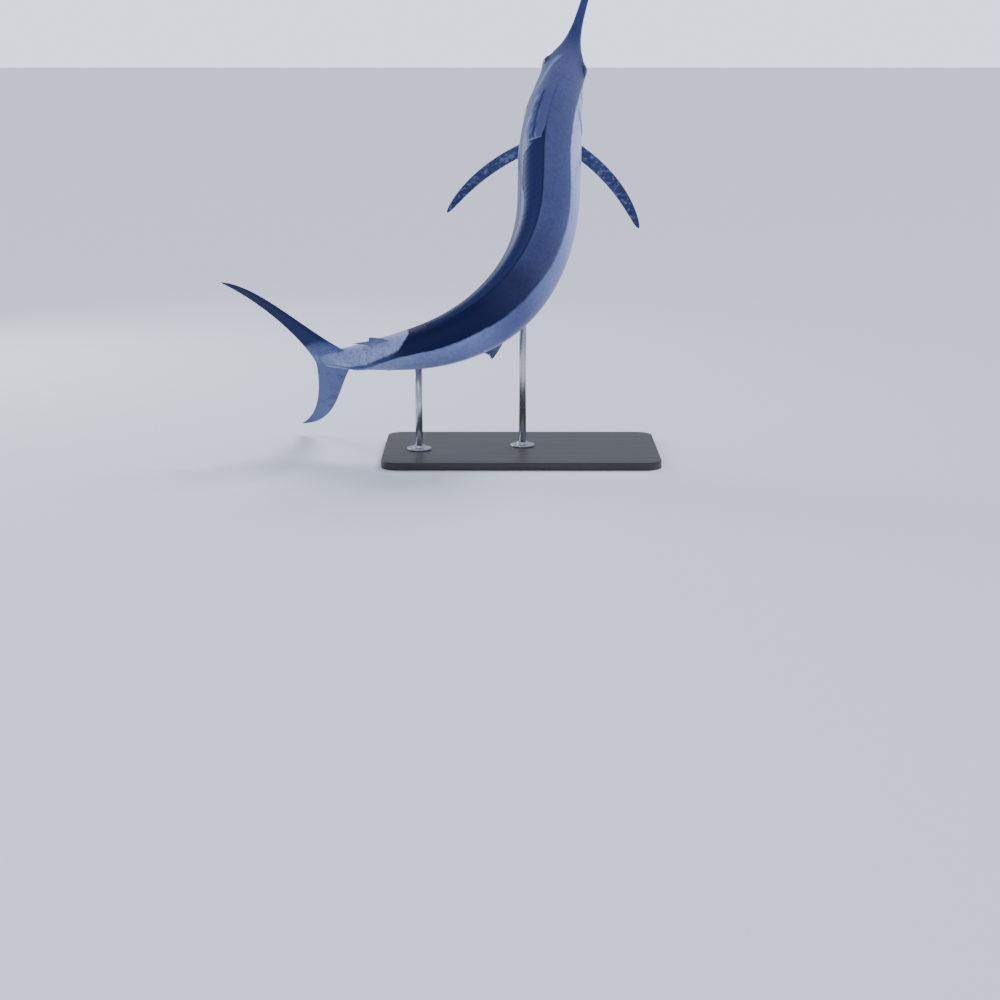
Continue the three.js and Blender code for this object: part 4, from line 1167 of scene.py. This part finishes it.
def pelvic_sheet(side, rows=30):
    """A narrow blade of three joined rays that trails along the belly, lifting off it slowly."""
    _, tailward, _, _ = frame_at(PELVIC["at"])
    turn = float(side * PELVIC["turn"])
    off, root = skin_normal(PELVIC["at"], turn), skin_point(PELVIC["at"], turn, -PELVIC["sink"])
    lift = radians(PELVIC["lift"])
    along = tailward * np.cos(lift) + off * np.sin(lift)
    across = unit(np.cross(along, off))
    flat = unit(np.cross(across, along))
    count, out = fin_grid(PELVIC["rays"], rows)
    wide = PELVIC["chord"] * FORK_LENGTH * (1 - 0.75 * out) * (count / PELVIC["rays"] - 0.5)
    middle = root + along * (PELVIC["length"] * FORK_LENGTH * out)[..., None] + across * wide[..., None]
    half = half_thickness(PELVIC["thick"], out, count, 0.55)
    return middle, flat, half, {"count": count, "out": out}


WING_FIN = fin_material("wing_fin", (0.05, 0.065, 0.18), (0.032, 0.045, 0.14), (0.01, 0.016, 0.07),
                        (0.3, 0.36, 0.6), 50.0)
for name, side in SIDES.items():
    pectoral = pectoral_sheet(side, PECTORAL["sweeps"][name])
    for part, sheet, paint in (("pectoral", pectoral, WING_FIN), ("pelvic", pelvic_sheet(side), SMALL_FIN)):
        finish_piece(make_fin(f"{part}_fin_{name}", sheet), paint, "fin", f"{part}_fin_{name}")

# %% [markdown]
# The tail fin is a stiff crescent, one surface from tip to tip. One number runs from the lower tip
# through the midline to the upper tip, and picks a point on a leading and on a trailing curve; the
# other runs from the leading edge back. Rays spread from the stem and follow the lobes outwards.

# %% Tail fin
TAIL = {"rays": 22, "rows": 64, "thick": (20, 2.4), "ridge": 0.9, "front": 0.3, "rear": 0.1,
        "tip_width": 0.0016, "thinnest": 0.5}
TAIL_LOBES = {
    1: {"leading": [[0.905, 0], [0.97, 0.045], [1, 0.232], [1.113, 0.212]],
        "trailing": [[1.006, 0], [0.995, 0.05], [1.02, 0.166], [1.113, 0.212]], "flex": 0.12},
    -1: {"leading": [[0.905, 0], [0.975, 0.025], [1.05, 0.215], [1.144, 0.196]],
         "trailing": [[1.006, 0], [1.012, 0.02], [1.075, 0.17], [1.144, 0.196]], "flex": 0},
}
TAIL_COLOURS = [  # from the lower tip over the root to the upper tip
    (0.0, (0.1, 0.125, 0.27)), (0.2, (0.145, 0.175, 0.35)), (0.45, (0.14, 0.175, 0.36)),
    (0.53, (0.22, 0.26, 0.48)), (0.58, (0.12, 0.15, 0.32)), (0.62, (0.012, 0.022, 0.09)),
    (0.85, (0.004, 0.01, 0.055)), (1.0, (0.012, 0.02, 0.08)),
]
TAIL_WEB = (0.012, 0.02, 0.07)


def bezier(points, t):
    """The cubic curve through four control points at t: weights (1-t)^3, 3t(1-t)^2, 3t^2(1-t), t^3."""
    weights = [(1 - t) ** 3, 3 * t * (1 - t) ** 2, 3 * t**2 * (1 - t), t**3]
    return sum(w[..., None] * np.array(p) for w, p in zip(weights, points))


def tail_sheet():
    """Both lobes at once, each between its leading and trailing curve."""
    count, along = fin_grid(TAIL["rays"], 2 * TAIL["rows"])
    level = 2 * along - 1
    reach, share = 1 - (1 - np.abs(level)) ** 1.25, count / TAIL["rays"]
    at, high, flex = [np.zeros_like(reach) for _ in range(3)]
    for above, lobe in TAIL_LOBES.items():
        edge = mix(bezier(lobe["leading"], reach), bezier(lobe["trailing"], reach), share[..., None])
        here = level * above >= 0
        at = np.where(here, edge[..., 0], at)
        high = np.where(here, above * edge[..., 1] * FORK_LENGTH, high)
        flex = np.where(here, lobe["flex"] * reach**2, flex)
    place, _, up, left = frame_at(at + (share - 0.5) * TAIL["tip_width"] * reach)
    middle = place + up * high[..., None] + left * flex[..., None]
    front, rear = TAIL["front"], TAIL["rear"]
    wing = np.where(share < front, blade_section(share, front, 0.302, 1, 0.002),
                    mix(1, rear, (share - front) / (1 - front)))
    half = mix(*TAIL["thick"], reach**0.5) * wing + TAIL["ridge"] * ray_ridge(count) * (1 - 0.6 * reach)
    half = np.maximum(half, TAIL["thinnest"]) / 2 * MILLIMETRE
    return middle, frame_at(1.0)[3], half, {"count": count, "level": level}


def tail_material():
    """The upper lobe dark navy from a paler root, the lower lobe grey-blue, specks on the root."""
    material, spot = new_material("tail_fin")
    cloud = effect(MOTTLE, spot, 12.0)
    share = (spot.stored("level") + (cloud - 0.5) * 0.16) * 0.5 + 0.5
    colour = blend(webs(spot, 0.6, 0.3), share.ramp(TAIL_COLOURS), TAIL_WEB)
    colour = blend(cloud.remap(0.5, 0.62) * 0.3, colour, TAIL_WEB)
    colour = specked(colour, spot, share.band(0.44, 0.5, 0.56, 0.62))
    return fin_finish(material, colour, effect(MOTTLE, spot, 90.0), (0.34, 0.5), 0.03, 0.18, 0.07)


finish_piece(make_fin("tail_fin", tail_sheet()), tail_material(), "fin", "tail_fin_upper", "tail_fin_lower")

# %% [markdown]
# The stand is as plain as a museum makes it: a black-stained wooden slab with a softened edge, and
# two steel rods, each in a turned foot. The slab is a rounded outline carried up a small profile;
# the feet and rods are profiles turned about an upright line, as on a lathe.

# %% Stand
BASE = {"width": 1.16, "depth": 0.72, "height": 0.032, "corner": 0.07, "bevel": 0.003}
BASE_INSETS = [0.3, 0.05]  # rings of the flat faces above and below
ROD = {"radius": 0.015, "bottom": 0.0516}
FOOT_PROFILE = [  # radius and height over the base, in millimetres
    (50.5, 0), (51.6, 0.4), (52, 1.5), (52, 6.5), (51.4, 8), (49.8, 9), (26.5, 9), (24.8, 9.4),
    (24, 10.5), (24, 17.5), (23.4, 18.5), (22.2, 19), (15.4, 19)]
FOOT_BOTTOM = 0.0323
RODS = {"front": (0.008, 0.02, 0.7385), "rear": (-0.43, -0.062, 0.391)}  # x, y and the buried top


def slab_rings(corners=128):
    """The base: a rounded rectangle drawn in by the inset of each step of its edge profile."""
    angle = np.linspace(0, np.pi / 2, 7)
    edge = BASE["bevel"] * (1 - np.stack([np.sin(angle), np.cos(angle)], -1))
    flat = np.array([[inset, 0] for inset in BASE_INSETS])
    lower = np.concatenate([flat, edge])
    upper = [0, BASE["height"]] + lower[::-1] * [1, -1]
    inset, z = np.concatenate([lower, upper]).T[..., None]
    around = np.linspace(0, 2 * np.pi, corners, endpoint=False) + np.pi / corners
    corner = np.maximum(BASE["corner"] - inset, 0.02)
    x, y = [(BASE[size] / 2 - inset - corner) * np.sign(wave) + corner * wave
            for size, wave in (("width", np.cos(around)), ("depth", np.sin(around)))]
    return np.stack([x, y, z + 0 * x], -1)


def lathe(profile, x, y, columns=64):
    """A profile of radius and height in metres, turned about an upright line."""
    radius, z = np.transpose(profile)[..., None]
    around = np.linspace(0, 2 * np.pi, columns, endpoint=False)
    return np.stack([x + radius * np.cos(around), y + radius * np.sin(around), z + 0 * around], -1)


def drawn_out(spot, scale):
    """The mottle drawn out along one or two directions, as grain or scratches."""
    return effect(MOTTLE, added(spot.tree, "ShaderNodeMapping", {"Vector": spot, "Scale": scale}), 1.0)


def wood_material():
    """Black-stained wood: noise drawn out along the grain, with fine dark pores."""
    material, spot = new_material("stained_wood")
    grain, pores = drawn_out(spot, (1.6, 22.0, 22.0)), drawn_out(spot, (12.0, 420.0, 420.0))
    colour = blend(grain.remap(0.35, 0.65), (0.02, 0.018, 0.017), (0.052, 0.047, 0.044))
    colour = blend(pores.remap(0.55, 0.68, 0.0, 0.6), colour, (0.009, 0.008, 0.008))
    sockets = {"Base Color": colour, "Roughness": grain.remap(0.3, 0.7, 0.36, 0.5)}
    return set_shader(material, sockets, pores, strength=0.25, distance=0.0004, invert=True)


def steel_material():
    """Brushed steel: fine scratches that run level, round the turned pieces."""
    material, spot = new_material("brushed_steel")
    brushed = drawn_out(spot, (90.0, 90.0, 900.0))
    colour = blend(brushed.remap(0.35, 0.65), (0.46, 0.47, 0.48), (0.62, 0.63, 0.64))
    return set_shader(material, {"Base Color": colour, "Metallic": 1.0,
                                 "Roughness": brushed.remap(0.3, 0.7, 0.24, 0.38)})


finish_piece(make_piece("stand_base", *ring_shell(slab_rings())), wood_material(), "stand_base", "stand_base")
STEEL = steel_material()
foot_profile = [(radius * MILLIMETRE, FOOT_BOTTOM + z * MILLIMETRE) for radius, z in FOOT_PROFILE]
for name, (x, y, top) in RODS.items():
    rod_profile = [(ROD["radius"], mix(ROD["bottom"], top, share)) for share in (0, 0.5, 1)]
    for part, profile in ((f"stand_foot_{name}", foot_profile), (f"stand_rod_{name}", rod_profile)):
        finish_piece(make_piece(part, *ring_shell(lathe(profile, x, y))), STEEL, "stand_rod", part)
